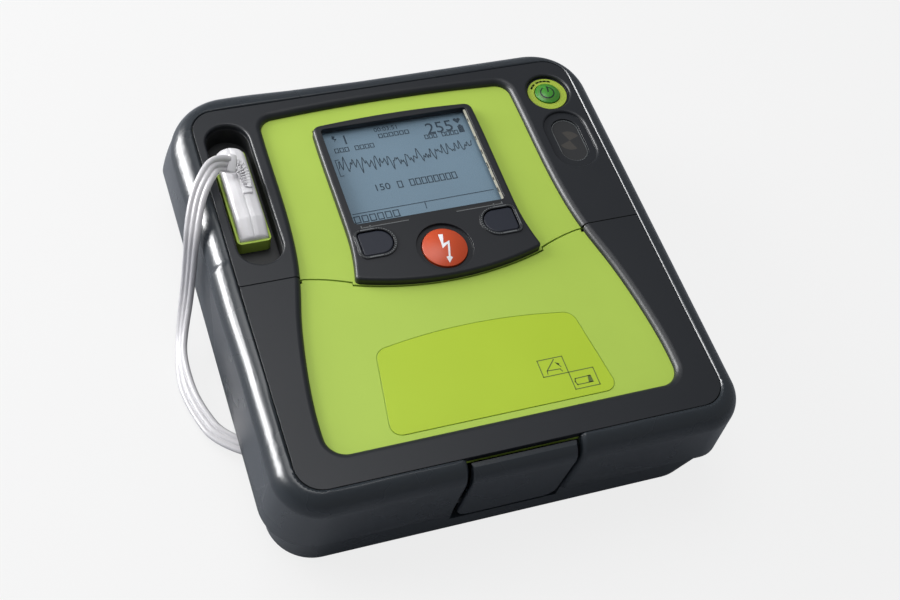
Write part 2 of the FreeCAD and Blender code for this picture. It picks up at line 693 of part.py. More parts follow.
def hinge_brackets():
    """Four ears under the fixed frame that hold the pins."""
    ears = []
    for start, end in (("arm_across - arm_width / 2 - 4.7", "arm_across - arm_width / 2 - 0.5"),
                       ("arm_across + arm_width / 2 + 0.5", "arm_across + arm_width / 2 + 4.7")):
        for left, right in mirrored(start, end):
            eye = rod("x", (left, "hinge_row", "hinge_level"), "hub_radius", "4.2")
            web = block((left, right), ("hinge_row - hub_radius", "hinge_row + hub_radius"),
                        ("hinge_level", "hinge_level + hub_radius + 0.4"))
            bore = rod("x", (left + " - 1", "hinge_row", "hinge_level"), "hinge_pin + 0.01", "6.2")
            ears.append(less(join(eye, web), bore))
    return node(group(*ears), "hinge_brackets")


# ---------------------------------------------------------------- latch

def front_at(level_text):
    """Where the front wall's outer face is at a level."""
    share = (value(level_text) - value("base_top")) / (value("round_start") - value("base_top"))
    return value("skirt_front") + share * (value("shell_front") - value("skirt_front"))


def latch():
    """Front latch: a plate that follows the bumper, with a hook behind its top and eyes at its foot."""
    plate = doc.addObject("PartDesign::Body", "latch_plate")
    top, foot, inset = value("latch_top"), value("latch_bottom"), value("latch_inset")
    face = front_at("round_start") + inset
    outer = [(front_at("latch_bottom") + inset, foot), (face, value("round_start")),
             (face + 1.1, 66.6), (face + 4.5, top)]
    inner = [(outer[3][0] + 2.4, top), (outer[2][0] + 2.9, 64.5), (outer[1][0] + 2.9, 60),
             (outer[0][0] + 2.6, foot)]
    lines = [Part.LineSegment(Vector(*outer[0], 0), Vector(*outer[1], 0)),
             arc_through(outer[1], outer[2], outer[3])]
    lines += [Part.LineSegment(Vector(*a, 0), Vector(*b, 0))
              for a, b in zip([outer[3]] + inner, inner + [outer[0]])]
    sketch = sketch_in(plate, "0", "YZ_Plane")
    curve(lines)(sketch)
    form = plate.newObject("PartDesign::Pad", "latch_form")
    form.Profile = sketch
    form.SideType = "Symmetric"
    form.setExpression("Length", bound("2 * latch_half"))
    round_edges(plate, both(level("latch_bottom"), lambda edge: edge.BoundBox.XLength < 1e-4), "latch_corner")

    def ends(edge):
        box = edge.BoundBox
        return box.XLength < 1e-4 and box.YMin < -118.5 and box.YMax < -116 and box.ZLength > 2
    round_edges(plate, ends, "1.2")
    eyes = []
    for left, right in mirrored("11", "20"):
        eye = rod("x", (left, "latch_row", "latch_level"), "latch_pin + 1.6", "9")
        web = block((left, right), ("latch_row - 6", "latch_row"), ("latch_level - 2.3", "latch_level + 2.5"))
        eyes += [eye, web]
    hook = block(("-12", "12"), ("-118.5", "-112.3"), ("61.2", "63.6"))
    bores = [rod("x", (left + " - 1", "latch_row", "latch_level"), "latch_pin + running", "11")
             for left, right in mirrored("11", "20")]
    return node(less(join(plate, hook, *eyes), *bores), "latch")


def latch_pin():
    """Steel pin at the latch's foot."""
    half = "(latch_half + latch_gap + cheek)"
    return node(rod("x", ("-" + half, "latch_row", "latch_level"), "latch_pin", "2 * " + half), "latch_pin")


def latch_spring():
    """Torsion spring round the pin that pushes the latch shut."""
    coil = Part.makeHelix(0.9, 9, value("latch_pin") + 0.9)
    wire = Part.Wire(Part.makeCircle(0.35, coil.Vertexes[0].Point, Vector(0, 1, 0)))
    spring = doc.addObject("Part::Feature", "latch_spring")
    spring.Shape = Part.Wire(coil.Edges).makePipeShell([wire], True, True)
    turn = FreeCAD.Rotation(Vector(0, 1, 0), 90)
    spring.Placement = FreeCAD.Placement(Vector(-4.5, value("latch_row"), value("latch_level")), turn)
    return node(spring, "latch_spring")


def latch_housing():
    """Fixed well behind the latch, with a back wall, a floor and the cheeks that hold the pin."""
    half, outside = "(latch_half + latch_gap)", "(latch_half + latch_gap + cheek)"
    deep = ("inner_front + 0.1", "-105")
    back = block(("-" + outside, outside), ("-106.5", "-104.5"), ("10", "61.8"))
    under = block(("-" + outside, outside), deep, ("10", "12"))
    cheeks = [block(x, deep, ("10", "61.8")) for x in mirrored(half, outside)]
    bore = rod("x", ("-40", "latch_row", "latch_level"), "latch_pin + 0.01", "80")
    return node(less(join(back, under, *cheeks), bore), "latch_housing")


def lid_catch():
    """Bar under the lid's front edge with the nose that the latch holds down."""
    bar = block(("-12", "12"), ("-110.6", "-108.4"), ("57.6", "panel_top - panel_thick"))
    nose = block(("-12", "12"), ("-111.6", "-110"), ("57.6", "60"))
    return node(join(bar, nose), "lid_catch")


# ---------------------------------------------------------------- screen and keys

def screen_bezel():
    """Raised surround of the screen, the two soft keys and the shock button."""
    body = new_body("screen_bezel")
    pad(body, curve(bezel_outline()), "panel_top", "bezel_top")
    round_edges(body, both(upright, lambda edge: edge.BoundBox.YMin > 0), "4.5")
    round_edges(body, both(upright, lambda edge: edge.BoundBox.YMin < 0), "2.5")
    round_edges(body, level("bezel_top"), "1.6")
    window = "-window_width / 2", "window_width / 2", "window_front", "window_back"
    cut(body, rect(*window, "2"), "bezel_top", "panel_top")
    rebate = ["%s - screen_margin" % window[0], "%s + screen_margin" % window[1],
              "%s - screen_margin" % window[2], "%s + screen_margin" % window[3]]
    cut(body, rect(*rebate, "1"), "panel_top + 0.1 + glass_thick", "panel_top")
    hole = "shock_radius + clearance"
    cut(body, disc("0", "shock_row", "shock_recess"), "bezel_top", "bezel_top - 1.6")
    cut(body, disc("0", "shock_row", hole), "bezel_top", "panel_top")
    for side in (-1, 1):
        pad(body, curve(key_outline(side, 2.0)), "bezel_top - 0.4", "bezel_top + 0.6")
        cut(body, curve(key_outline(side, value("clearance"))), "bezel_top + 1", "panel_top")
    return body


def display_window():
    """Clear window over the screen."""
    body = new_body("display_window")
    left, right = "window_width / 2 + screen_margin - 0.2", "window_width / 2 + screen_margin - 0.2"
    front, back = "window_front - screen_margin + 0.2", "window_back + screen_margin - 0.2"
    pad(body, rect("-(%s)" % left, right, front, back, "0.9"), "panel_top + 0.05", "panel_top + glass_thick")
    return body


def key_cap(label, side):
    """Soft key with a flange that holds it under the bezel."""
    body = new_body(label)
    pad(body, curve(key_outline(side, value("flange"))), "flange_bottom", "flange_top")
    pad(body, curve(key_outline(side, 0)), "flange_bottom", "key_top")
    round_edges(body, level("key_top"), "0.8")
    return body


def domed_cap(label, x, y, radius, level_range, rim, dome):
    """Round push button: flange, straight side and a domed top."""
    bottom, flange_top = level_range
    flange_disc = rod("z", (x, y, bottom), radius + " + flange", "(%s) - (%s)" % (flange_top, bottom))
    side = rod("z", (x, y, bottom), radius, "(%s) - (%s)" % (rim, bottom))
    rise, half = value("(%s) - (%s)" % (dome, rim)), value(radius)
    ball = (half * half + rise * rise) / (2 * rise)
    sphere = doc.addObject("Part::Sphere", "dome")
    sphere.Radius = ball
    sphere.Placement.Base = Vector(value(x), value(y), value(dome) - ball)
    keep = rod("z", (x, y, rim + " - 0.5"), radius, "(%s) - (%s) + 1" % (dome, rim))
    crown = doc.addObject("Part::Common", "crown")
    crown.Base, crown.Tool = sphere, keep
    return node(join(flange_disc, side, crown), label)


def shock_button():
    """Large domed button that gives the shock."""
    return domed_cap("shock_button", "0", "shock_row", "shock_radius",
                     ("flange_bottom", "flange_top"), "bezel_top - 0.6", "dome_top")


def power_button():
    """Small domed button in the corner recess."""
    return domed_cap("power_button", "power_across", "power_row", "power_radius",
                     ("panel_top - panel_thick - 1.2", "panel_top - panel_thick - 0.1"),
                     "face_level - 1.4", "face_level + 0.4")


def power_ring():
    """Coloured ring round the power button."""
    body = new_body("power_ring")
    pad(body, disc("power_across", "power_row", "ring_outer"), "panel_top - panel_thick", "face_level - 2")
    cut(body, disc("power_across", "power_row", "power_radius + clearance"), "face_level", "panel_top - panel_thick")
    return body


def power_switch():
    """Small board with the switch under the power button."""
    board = block(("power_across - 10", "power_across + 10"), ("power_row - 10", "power_row + 10"), ("60.5", "62.1"))
    switch = rod("z", ("power_across", "power_row", "62"), "3.4", "2.7")
    return node(join(board, switch), "power_switch")


def status_window():
    """Clear cover over the readiness indicator."""
    body = new_body("status_window")
    ends = "status_row - status_length / 2 + 0.1", "status_row + status_length / 2 - 0.1"
    pad(body, slot("power_across", ends[0], ends[1], "status_width / 2 - 0.1"), "panel_top", "panel_top + 1.4")
    return body


def status_indicator():
    """Readiness indicator behind its window: a carrier with two flags."""
    x, y = "power_across", "status_row"
    carrier = block((x + " - 8.6", x + " + 8.6"), (y + " - 15.6", y + " + 15.6"), ("64.2", "67.2"))
    flags = [block((x + " - 5.2", x + " + 5.2"), (y + low, y + high), ("67", "68.8"))
             for low, high in ((" - 11", " - 1"), (" + 1", " + 11"))]
    return node(join(carrier, *flags), "status_indicator")


def flat_part(label, x, y, z):
    """A plain plate between three pairs of bounds."""
    return node(block(x, y, z), label)


def screen_stack():
    """Liquid-crystal panel, its backlight and the metal tray that holds both."""
    flat_part("lcd_panel", ("-42", "42"), ("22.4", "90.6"), ("67.3", "69.1"))
    flat_part("backlight", ("-42", "42"), ("22.4", "90.6"), ("65.2", "67.2"))
    body = new_body("screen_tray")
    pad(body, rect("-43.4", "43.4", "21", "92"), "64.2", "69.2")
    cut(body, rect("-42.2", "42.2", "22.2", "90.8"), "69.2", "65.1")


def keypad():
    """Soft mat with the domes under the keys, and the board below it."""
    mat = block(("-43.6", "43.6"), ("-10.8", "20.4"), ("64.9", "66.2"))
    domes = [rod("z", (x, y, "66.1"), "3", "0.6")
             for x, y in (("-key_centre", "key_row"), ("key_centre", "key_row"), ("0", "shock_row"))]
    node(join(mat, *domes), "keypad_mat")
    flat_part("keypad_board", ("-43.6", "43.6"), ("-10.8", "20.4"), ("63.3", "64.9"))


# ---------------------------------------------------------------- electrode connector and cord

def connector_pocket():
    """Deep slot-shaped cup in the face that the connector stands in."""
    body = new_body("connector_pocket")
    outer = slot("pocket_across", "pocket_front - 1.4", "pocket_back + 1.4", "pocket_radius + 1.4")
    pad(body, outer, "pocket_floor", "panel_top")
    inner = slot("pocket_across", "pocket_front + 0.2", "pocket_back - 0.2", "pocket_radius - 0.2")
    cut(body, inner, "panel_top", "pocket_floor + 1.6")
    return body


def connector_receptacle():
    """Green socket block that the plug sits in."""
    body = new_body("connector_receptacle")
    left, right = "plug_across - plug_width / 2 - 1.3", "plug_across + plug_width / 2 + 1"
    pad(body, rect(left, right, "plug_front - 1.4", "plug_back - 1", "2.4"), "pocket_floor + 1.6", "66.6")
    left, right = "plug_across - plug_width / 2 - 0.1", "plug_across + plug_width / 2 + 0.1"
    cut(body, rect(left, right, "plug_front - 0.1", "plug_back", None), "66.6", "plug_bottom - 0.05")
    return body


def connector_contacts():
    """Six brass pins that stand up from the socket's floor."""
    pins = [rod("z", ("plug_across + %s" % (4 * side), "plug_front + 9 + 18 * %d" % place, "plug_bottom - 0.05"),
                "0.8", "4") for side in (-1, 1) for place in range(3)]
    return node(group(*pins), "connector_contacts")


def plug_shell(label, side):
    """One half of the plug's shell, split along its length."""
    body = doc.addObject("PartDesign::Body", label + "_form")
    half = value("plug_width / 2")
    x, front, back = value("plug_across"), value("plug_front"), value("plug_back")
    low, high = value("plug_bottom"), value("plug_top")
    profile = [(front, low), (front, high - 4.6), (front + 9, high), (back - 5, high), (back, high - 3.5),
               (back, low)]
    sketch = sketch_in(body, x, "YZ_Plane")
    curve([Part.LineSegment(Vector(*a, 0), Vector(*b, 0)) for a, b in zip(profile, profile[1:] + profile[:1])])(sketch)
    whole = body.newObject("PartDesign::Pad", label + "_pad")
    whole.Profile = sketch
    whole.Reversed = side < 0
    whole.setExpression("Length", bound("plug_width / 2"))
    doc.recompute()
    outside = x + side * half
    corner = lambda edge: upright(edge) and abs(edge.BoundBox.XMin - outside) < 1e-3 and edge.BoundBox.YMin > 80
    round_edges(body, corner, "6")
    brow = lambda edge: (abs(edge.BoundBox.XMin - outside) < 1e-3 and edge.BoundBox.ZMin > high - 4.7
                         and edge.BoundBox.XLength < 1e-3 and edge.BoundBox.YLength > 3)
    round_edges(body, brow, "1.4")
    holes = []
    for place in range(3):
        at = ("plug_across + %s" % (4 * side), "plug_front + 9 + 18 * %d" % place, "plug_bottom - 1")
        holes.append(rod("z", at, "0.95", "5.2"))
    split = block(("plug_across - 0.03", "plug_across + 0.03"), ("0", "100"), ("60", "80"))
    return node(less(body, split, *holes), label)


def strain_relief():
    """Ribbed boot on top of the plug that turns the cord over the side."""
    foot = block(("-95.6", "-85.6"), ("56", "75"), ("plug_top", "plug_top + 3.2"))
    head = block(("-95.6", "-88"), ("63.8", "76"), ("plug_top + 3.1", "plug_top + 9"))
    return node(join(foot, head), "strain_relief")


# The cord's line, from the strain relief to the grommet; each point was placed by hand.
CORD_ROUTE = [(-95.6, 71, 79.6), (-101.7, 71, 83.5), (-109.9, 60.6, 85), (-115.2, 53.1, 80.8), (-119.2, 44.8, 75),
              (-122, 37.3, 67.4), (-122.9, 35.9, 50.4), (-124.4, 34.2, 27.5), (-129.2, 23.2, 12.5),
              (-133.7, 8.7, 6), (-134.8, -10.1, 4.8), (-131.3, -27.3, 5), (-125.2, -43.6, 6.8), (-113.2, -53, 9.4)]



def cord_path(points):
    """Straight runs joined by arcs that are as large as their runs allow."""
    knots = [Vector(*point) for point in points]
    edges, here, radii = [], knots[0], []
    for before, corner, after in zip(knots, knots[1:], knots[2:]):
        incoming, outgoing = corner - before, after - corner
        turn = incoming.getAngle(outgoing)
        shorter = min(incoming.Length, outgoing.Length)
        reach = 0.45 * shorter
        radii.append(reach / math.tan(turn / 2))
        start = corner - incoming.normalize() * reach
        end = corner + outgoing.normalize() * reach
        bisector = (outgoing - incoming).normalize()
        bulge = radii[-1] * (1 / math.cos(turn / 2) - 1)
        edges.append(Part.LineSegment(here, start).toShape())
        edges.append(Part.Arc(start, corner + bisector * bulge, end).toShape())
        here = end
    edges.append(Part.LineSegment(here, knots[-1]).toShape())
    return Part.Wire(edges), radii


def electrode_cord():
    """The cord, as a plain round tube along its line."""
    path, radii = cord_path(CORD_ROUTE)
    radius = value("cord_radius")
    start = Vector(*CORD_ROUTE[0])
    section = Part.Wire(Part.makeCircle(radius, start, Vector(*CORD_ROUTE[1]) - start))
    tube = doc.addObject("Part::Feature", "electrode_cord")
    tube.Shape = path.makePipeShell([section], True, False)
    expected = math.pi * radius * radius * path.Length
    print("cord radii", [round(bend, 1) for bend in radii], "length", round(path.Length, 1),
          "volume ratio", round(tube.Shape.Volume / expected, 4))
    return node(tube, "electrode_cord")


def cord_grommet():
    """Rubber bush where the cord goes back into the base; its flange is inside the wall."""
    sleeve = rod("x", ("-floor_side - 0.6", "cord_row", "cord_level"), "grommet_radius", "floor_side - inner_side + 1.6")
    flange = rod("x", ("-inner_side", "cord_row", "cord_level"), "grommet_radius + 1.5", "1")
    bore = rod("x", ("-2 * skirt_side", "cord_row", "cord_level"), "cord_radius + 0.1", "2 * skirt_side")
    return node(less(join(sleeve, flange), bore), "cord_grommet")


# ---------------------------------------------------------------- battery compartment

def compartment_tray():
    """Tray under the lid with the battery's well and a deck round it."""
    body = new_body("compartment_tray")
    top, deck = "tray_top", "tray_top - 2"
    pad(body, rect("-109", "109", "-111", "0.9", "12"), deck, top)
    outer = rect("-well_half", "well_half", "well_front", "well_back", "6")
    pad(body, outer, "well_floor", deck)
    cut(body, rect("-52.5", "52.5", "-17.4", "2", None), top, deck)
    inner = rect("2 - well_half", "well_half - 2", "well_front + 2", "well_back - 2", "4")
    cut(body, inner, top, "well_floor + 2")
    cut(body, rect("-33", "33", "-120", "-103.8", None), top, deck)
    for left, right in mirrored("arm_across - arm_width / 2 - 1.5", "arm_across + arm_width / 2 + 1.5"):
        cut(body, rect(left, right, "-11.5", "2", None), top, deck)
    return body


def battery():
    """Battery: a hollow case with its cover, cells inside, and contact blades in the well."""
    body = new_body("battery_case")
    pad(body, rect("-61", "61", "-95.5", "-26.5", "4"), "well_floor + 2.2", "50")
    cut(body, rect("-59", "59", "-93.5", "-28.5", "3"), "50", "well_floor + 4.2")
    cover = new_body("battery_cover")
    pad(cover, rect("-61", "61", "-95.5", "-26.5", "4"), "50", "52.5")
    round_edges(cover, level("52.5"), "1")
    cells = [rod("x", ("%.1f" % (-53.5 + 36.5 * column), "%.1f" % (-81.5 + 20.5 * line), "35.5"),
                 "cell_radius", "cell_length") for column in range(3) for line in range(3)]
    node(group(*cells), "battery_cells")
    blades = [block(("%.1f" % (x - 2), "%.1f" % (x + 2)), ("-26.4", "-24"), ("36", "46")) for x in (-30, -18, 18, 30)]
    node(group(*blades), "battery_contacts")


# ---------------------------------------------------------------- electronics

def main_board():
    """Main circuit board across the back half of the case."""
    body = new_body("main_board")
    pad(body, rect("-97", "97", "-12", "94", "4"), "board_level", "board_level + board_thick")
    cut(body, rect("-100", "100", "-20", "-6", None), "board_level + board_thick", "board_level")
    for x in ("-88", "88"):
        for y in ("16", "88"):
            cut(body, disc(x, y, "1.7"), "board_level + board_thick", "board_level")
    return body


def board_pillars():
    """Four pillars from the floor that carry the main board, each with a spigot through it."""
    pillars = []
    for x in ("-88", "88"):
        for y in ("16", "88"):
            post = rod("z", (x, y, "foot_height + floor_thick"), "4", "board_level - foot_height - floor_thick")
            pillars.append(join(post, rod("z", (x, y, "board_level - 1"), "1.6", "4.5")))
    return node(group(*pillars), "board_pillars")


def power_parts():
    """Pulse capacitor, charge transformer, pulse inductor and transfer relay on the floor."""
    base = "foot_height + floor_thick"
    node(rod("x", ("-78", "46", "27"), "21", "84"), "pulse_capacitor")
    core = block(("20", "52"), ("28", "58"), (base, "foot_height + floor_thick + 26"))
    bobbin = rod("x", ("16", "43", "18"), "11", "40")
    node(join(core, bobbin), "charge_transformer")
    coil = rod("z", ("72", "58", base), "16", "24")
    node(less(coil, rod("z", ("72", "58", "0"), "6", "40")), "pulse_inductor")
    flat_part("transfer_relay", ("20", "50"), ("72", "94"), (base, "24"))


def sound_parts():
    """Speaker behind the slots in the back wall, and the microphone beside it."""
    inside = "shell_back - wall - 0.6"
    cone = rod("y", ("-50", inside + " - 10", "44"), "9", "6")
    rim = rod("y", ("-50", inside + " - 4.5", "44"), "13.4", "4.5")
    node(join(cone, rim), "speaker")
    node(rod("y", ("60", inside + " - 6.5", "44"), "4", "6.5"), "microphone")


def build():
    """Make every sub-part."""
    for make in (outer_case, corner_blocks, base_tray, rubber_feet, case_screws, upper_frame, upper_panel, lid_frame,
                 lid_panel, lid_label, hinge_arms, hinge_pins, hinge_brackets, latch, latch_pin, latch_spring,
                 latch_housing, lid_catch, screen_bezel, display_window, shock_button, power_button, power_ring,
                 power_switch, status_window, status_indicator, screen_stack, keypad, connector_pocket,
                 connector_receptacle, connector_contacts, strain_relief, electrode_cord, cord_grommet,
                 compartment_tray, battery, main_board, board_pillars, power_parts, sound_parts):
        make()
    gasket("upper_gasket", 1)
    gasket("lid_gasket", -1)
    for side, name in ((-1, "left"), (1, "right")):
        key_cap(name + "_soft_key", side)
        plug_shell("plug_shell_" + name, side)


def export():
    """Check the whole document, then write each sub-part to its own file."""
    doc.recompute()
    for item in doc.Objects:
        if "Invalid" in item.State or "Error" in item.State:
            raise RuntimeError("failed: %s %s" % (item.Name, item.State))
    os.makedirs("parts", exist_ok=True)
    for item in nodes:
        shape = item.Shape
        if shape.isNull() or not shape.isValid():
            raise RuntimeError("bad shape: " + item.Label)
        shape.exportStep("parts/%s.step" % item.Label)


build()
export()
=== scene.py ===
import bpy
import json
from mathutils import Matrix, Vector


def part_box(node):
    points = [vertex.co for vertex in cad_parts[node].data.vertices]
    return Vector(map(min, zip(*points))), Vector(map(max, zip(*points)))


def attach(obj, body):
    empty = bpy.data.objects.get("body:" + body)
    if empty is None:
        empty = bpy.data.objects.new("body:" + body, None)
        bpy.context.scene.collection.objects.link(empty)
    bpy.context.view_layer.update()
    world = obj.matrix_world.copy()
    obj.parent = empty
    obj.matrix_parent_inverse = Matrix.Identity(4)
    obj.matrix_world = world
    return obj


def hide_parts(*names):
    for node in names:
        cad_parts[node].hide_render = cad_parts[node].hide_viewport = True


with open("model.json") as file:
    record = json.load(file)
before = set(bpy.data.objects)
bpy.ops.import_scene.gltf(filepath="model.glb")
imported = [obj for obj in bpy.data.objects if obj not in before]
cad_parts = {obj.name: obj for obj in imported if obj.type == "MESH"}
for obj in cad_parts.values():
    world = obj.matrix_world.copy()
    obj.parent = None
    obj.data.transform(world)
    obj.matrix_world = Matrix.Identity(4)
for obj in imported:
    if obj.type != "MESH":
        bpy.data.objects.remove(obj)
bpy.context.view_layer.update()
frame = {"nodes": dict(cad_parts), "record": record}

import json
import math

import bmesh
import bpy
from mathutils import Matrix, Quaternion, Vector

# A portable defibrillator lying on its back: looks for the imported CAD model.
# +Z is up. The lid is the near half of the face, and the screen is on the far half.
# Lengths are in metres, except plan outlines, levels and the case's own values, which are in millimetres.

MM = 0.001
scene = bpy.context.scene


# ---------------------------------------------------------------- camera, light and floor

def camera():
    """The photograph's viewpoint: high over the near left corner, rolled a little."""
    data = bpy.data.cameras.new("camera")
    data.lens, data.sensor_width, data.shift_x = 54.7, 36.0, 0.1152
    data.clip_start, data.clip_end = 0.01, 20.0
    place = bpy.data.objects.new("camera", data)
    place.location = (-0.21849, -0.35459, 0.62303)
    target = Vector((-0.05785, -0.01753, 0.0730))
    facing = (target - place.location).to_track_quat("-Z", "Y")
    roll = Quaternion((0, 0, 1), math.radians(10.79))
    place.rotation_mode = "QUATERNION"
    place.rotation_quaternion = facing @ roll
    scene.collection.objects.link(place)
    scene.camera = place


def area_light(name, place, target, size, power):
    """A soft rectangular light that points at a target."""
    data = bpy.data.lights.new(name, "AREA")
    data.shape, data.size, data.size_y = "RECTANGLE", size[0], size[1]
    data.energy = power
    lamp = bpy.data.objects.new(name, data)
    lamp.location = place
    lamp.rotation_mode = "QUATERNION"
    lamp.rotation_quaternion = (Vector(target) - Vector(place)).to_track_quat("-Z", "Y")
    scene.collection.objects.link(lamp)
    return lamp


def studio():
    """Dim surroundings, a soft panel at the back left, a broad one overhead and one seen only in gloss."""
    scene.view_settings.view_transform = "Standard"
    world = bpy.data.worlds.new("studio")
    world.use_nodes = True
    back = world.node_tree.nodes["Background"]
    back.inputs["Color"].default_value = (0.95, 0.97, 1.0, 1)
    back.inputs["Strength"].default_value = 0.3
    scene.world = world
    area_light("key", (-1.0, 0.66, 0.5), (-0.02, 0.03, 0.07), (1.0, 0.75), 15)
    area_light("top", (-0.2, 0.4, 1.4), (0, 0, 0.05), (0.9, 0.9), 9.5)
    area_light("gloss", (-1.0, 0.66, 0.42), (-0.02, 0.03, 0.07), (0.8, 0.5), 34).visible_diffuse = False


def ground(name, level, mat):
    """A large plane at a level."""
    bpy.ops.mesh.primitive_plane_add(size=6, location=(0, 0, level))
    plane = bpy.context.object
    plane.name = name
    paint(plane, mat)
    return plane


def floor():
    """A plain pale floor that the camera sees, and the grey table that the object stands on."""
    pale, _ = shader("floor", (0.1, 0.1, 0.1), 1.0, Emission_Color=(1, 1, 1, 1), Emission_Strength=0.815,
                     Specular_IOR_Level=0.0)
    seen = ground("floor", 0.0, pale)
    seen.visible_diffuse = False
    seen.visible_glossy = False
    seen.visible_shadow = False
    grey, _ = shader("table", (0.36, 0.38, 0.42), 0.9)
    ground("table", -0.0005, grey).visible_camera = False


# ---------------------------------------------------------------- materials

def shader(name, colour, roughness, **sockets):
    """A new material and its principled shader; sockets are set by name, with _ for a space."""
    mat = bpy.data.materials.new(name)
    mat.use_nodes = True
    shade = mat.node_tree.nodes["Principled BSDF"]
    shade.inputs["Base Color"].default_value = (*colour, 1)
    shade.inputs["Roughness"].default_value = roughness
    for socket, amount in sockets.items():
        shade.inputs[socket.replace("_", " ")].default_value = amount
    return mat, shade


def add(mat, kind, **settings):
    """A new node in a material, with its settings and named inputs."""
    made = mat.node_tree.nodes.new("ShaderNode" + kind)
    for key, amount in settings.items():
        if hasattr(made, key):
            setattr(made, key, amount)
        else:
            made.inputs[key.replace("_", " ")].default_value = amount
    return made


MOTTLE_SCALE, GRAIN_HEIGHT = 22.0, 0.00006
GLOSS_LESS, GLOSS_MORE = 0.04, 0.05


def plastic(name, colour, roughness, edge=0.0004, grain=0.00025, depth=0.2, shift=0.05, **sockets):
    """Moulded plastic: softened edges, fine spark-eroded grain, slight colour and gloss variation."""
    mat, shade = shader(name, colour, roughness, **sockets)
    links = mat.node_tree.links
    where = add(mat, "TexCoord")
    fine = add(mat, "TexNoise", Scale=1 / grain, Detail=2.0)
    broad = add(mat, "TexNoise", Scale=MOTTLE_SCALE, Detail=3.0)
    for noise in (fine, broad):
        links.new(where.outputs["Object"], noise.inputs["Vector"])
    bump = add(mat, "Bump", Strength=depth, Distance=GRAIN_HEIGHT)
    links.new(fine.outputs["Fac"], bump.inputs["Height"])
    if edge:
        soften = add(mat, "Bevel", samples=4, Radius=edge)
        links.new(soften.outputs["Normal"], bump.inputs["Normal"])
    links.new(bump.outputs["Normal"], shade.inputs["Normal"])
    # In a colour mix, input 0 is the share, inputs 6 and 7 are the colours, and output 2 is the result.
    tint = add(mat, "Mix", data_type="RGBA", blend_type="MIX")
    tint.inputs[6].default_value = (*[c * (1 - shift) for c in colour], 1)
    tint.inputs[7].default_value = (*[min(1, c * (1 + shift)) for c in colour], 1)
    links.new(broad.outputs["Fac"], tint.inputs[0])
    links.new(tint.outputs[2], shade.inputs["Base Color"])
    gloss = add(mat, "MapRange")
    gloss.inputs["To Min"].default_value = roughness - GLOSS_LESS
    gloss.inputs["To Max"].default_value = roughness + GLOSS_MORE
    links.new(broad.outputs["Fac"], gloss.inputs["Value"])
    links.new(gloss.outputs["Result"], shade.inputs["Roughness"])
    return mat


MATERIALS = {
    "case": plastic("case", (0.02, 0.0255, 0.032), 0.27, edge=0),
    "frame": plastic("frame", (0.011, 0.013, 0.017), 0.42, Specular_IOR_Level=0.36),
    "green": plastic("green", (0.43, 0.6, 0.085), 0.45, Specular_IOR_Level=0.3),
    "label": plastic("label", (0.44, 0.6, 0.035), 0.4, edge=0.00025, Specular_IOR_Level=0.3),
    "bezel": plastic("bezel", (0.011, 0.0125, 0.016), 0.42, Specular_IOR_Level=0.36),
    "key": plastic("key", (0.01, 0.013, 0.024), 0.42, Specular_IOR_Level=0.4),
    "white": plastic("white", (0.8, 0.79, 0.81), 0.3, edge=0.0006),
    "cord": plastic("cord", (0.6, 0.59, 0.61), 0.32, edge=0),
    "dark": plastic("dark", (0.012, 0.013, 0.015), 0.5),
    "metal": plastic("metal", (0.6, 0.6, 0.6), 0.35, Metallic=1.0),
    "shock": plastic("shock", (0.55, 0.062, 0.012), 0.4),
    "power": plastic("power", (0.05, 0.27, 0.025), 0.3),
    "ring": plastic("ring", (0.38, 0.5, 0.05), 0.35),
    "lcd": plastic("lcd", (0.13, 0.215, 0.29), 0.5, edge=0, depth=0.05, shift=0.08),
    "ink": plastic("ink", (0.006, 0.022, 0.045), 0.7, edge=0, Specular_IOR_Level=0.2),
    "board": plastic("board", (0.02, 0.16, 0.06), 0.45),
    "rubber": plastic("rubber", (0.012, 0.012, 0.013), 0.75),
    "mark": plastic("mark", (0.85, 0.85, 0.88), 0.5, edge=0),
    # Pale cream of the painted highlight on the screen window's glass edge.
    "pale": plastic("pale", (0.5, 0.49, 0.4), 0.5, edge=0),
    # Grey of the painted highlights on the key rims, the bracket groove edges and the status window's rim.
    "line": plastic("line", (0.13, 0.14, 0.145), 0.45, edge=0),
    "shadow": plastic("shadow", (0.004, 0.004, 0.005), 0.7, edge=0),
    "olive": plastic("olive", (0.1, 0.15, 0.02), 0.6, edge=0),
    "brown": plastic("brown", (0.04, 0.036, 0.032), 0.5, edge=0),
}
CLEAR = shader("clear", (0.5, 0.6, 0.66), 0.1, Alpha=0.04)[0]
SLOT_MATERIAL = {
    "case_plastic": "case", "frame_plastic": "frame", "green_plastic": "green", "label_film": "label",
    "bezel_plastic": "bezel", "screen": "lcd", "sheet_metal": "metal", "steel": "metal",
    "brass": "metal", "key_rubber": "key", "shock_plastic": "shock", "power_plastic": "power",
    "ring_plastic": "ring", "white_plastic": "white", "cord_jacket": "cord", "seal_rubber": "rubber",
    "circuit_board": "board", "component_case": "dark",
}


def paint(obj, mat):
    """Give every face of an object one material."""
    obj.data.materials.clear()
    obj.data.materials.append(mat)


# ---------------------------------------------------------------- making pieces

def smooth(mesh, angle=32):
    """Smooth shading, with edges sharper than an angle kept crisp."""
    mesh.shade_smooth()
    mesh.set_sharp_from_angle(angle=math.radians(angle))


def piece(name, mesh, mat, body="housing"):
    """Put a finished mesh in the scene, on a body."""
    obj = bpy.data.objects.new(name, mesh)
    scene.collection.objects.link(obj)
    paint(obj, MATERIALS[mat])
    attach(obj, body)
    return obj


def mesh_of(name, points, faces):
    """A mesh from points in millimetres."""
    mesh = bpy.data.meshes.new(name)
    mesh.from_pydata([Vector(point) * MM for point in points], [], faces)
    mesh.update()
    return mesh


def recalculated(mesh):
    """The same mesh with its faces turned outwards."""
    work = bmesh.new()
    work.from_mesh(mesh)
    bmesh.ops.recalc_face_normals(work, faces=work.faces)
    work.to_mesh(mesh)
    work.free()
    return mesh


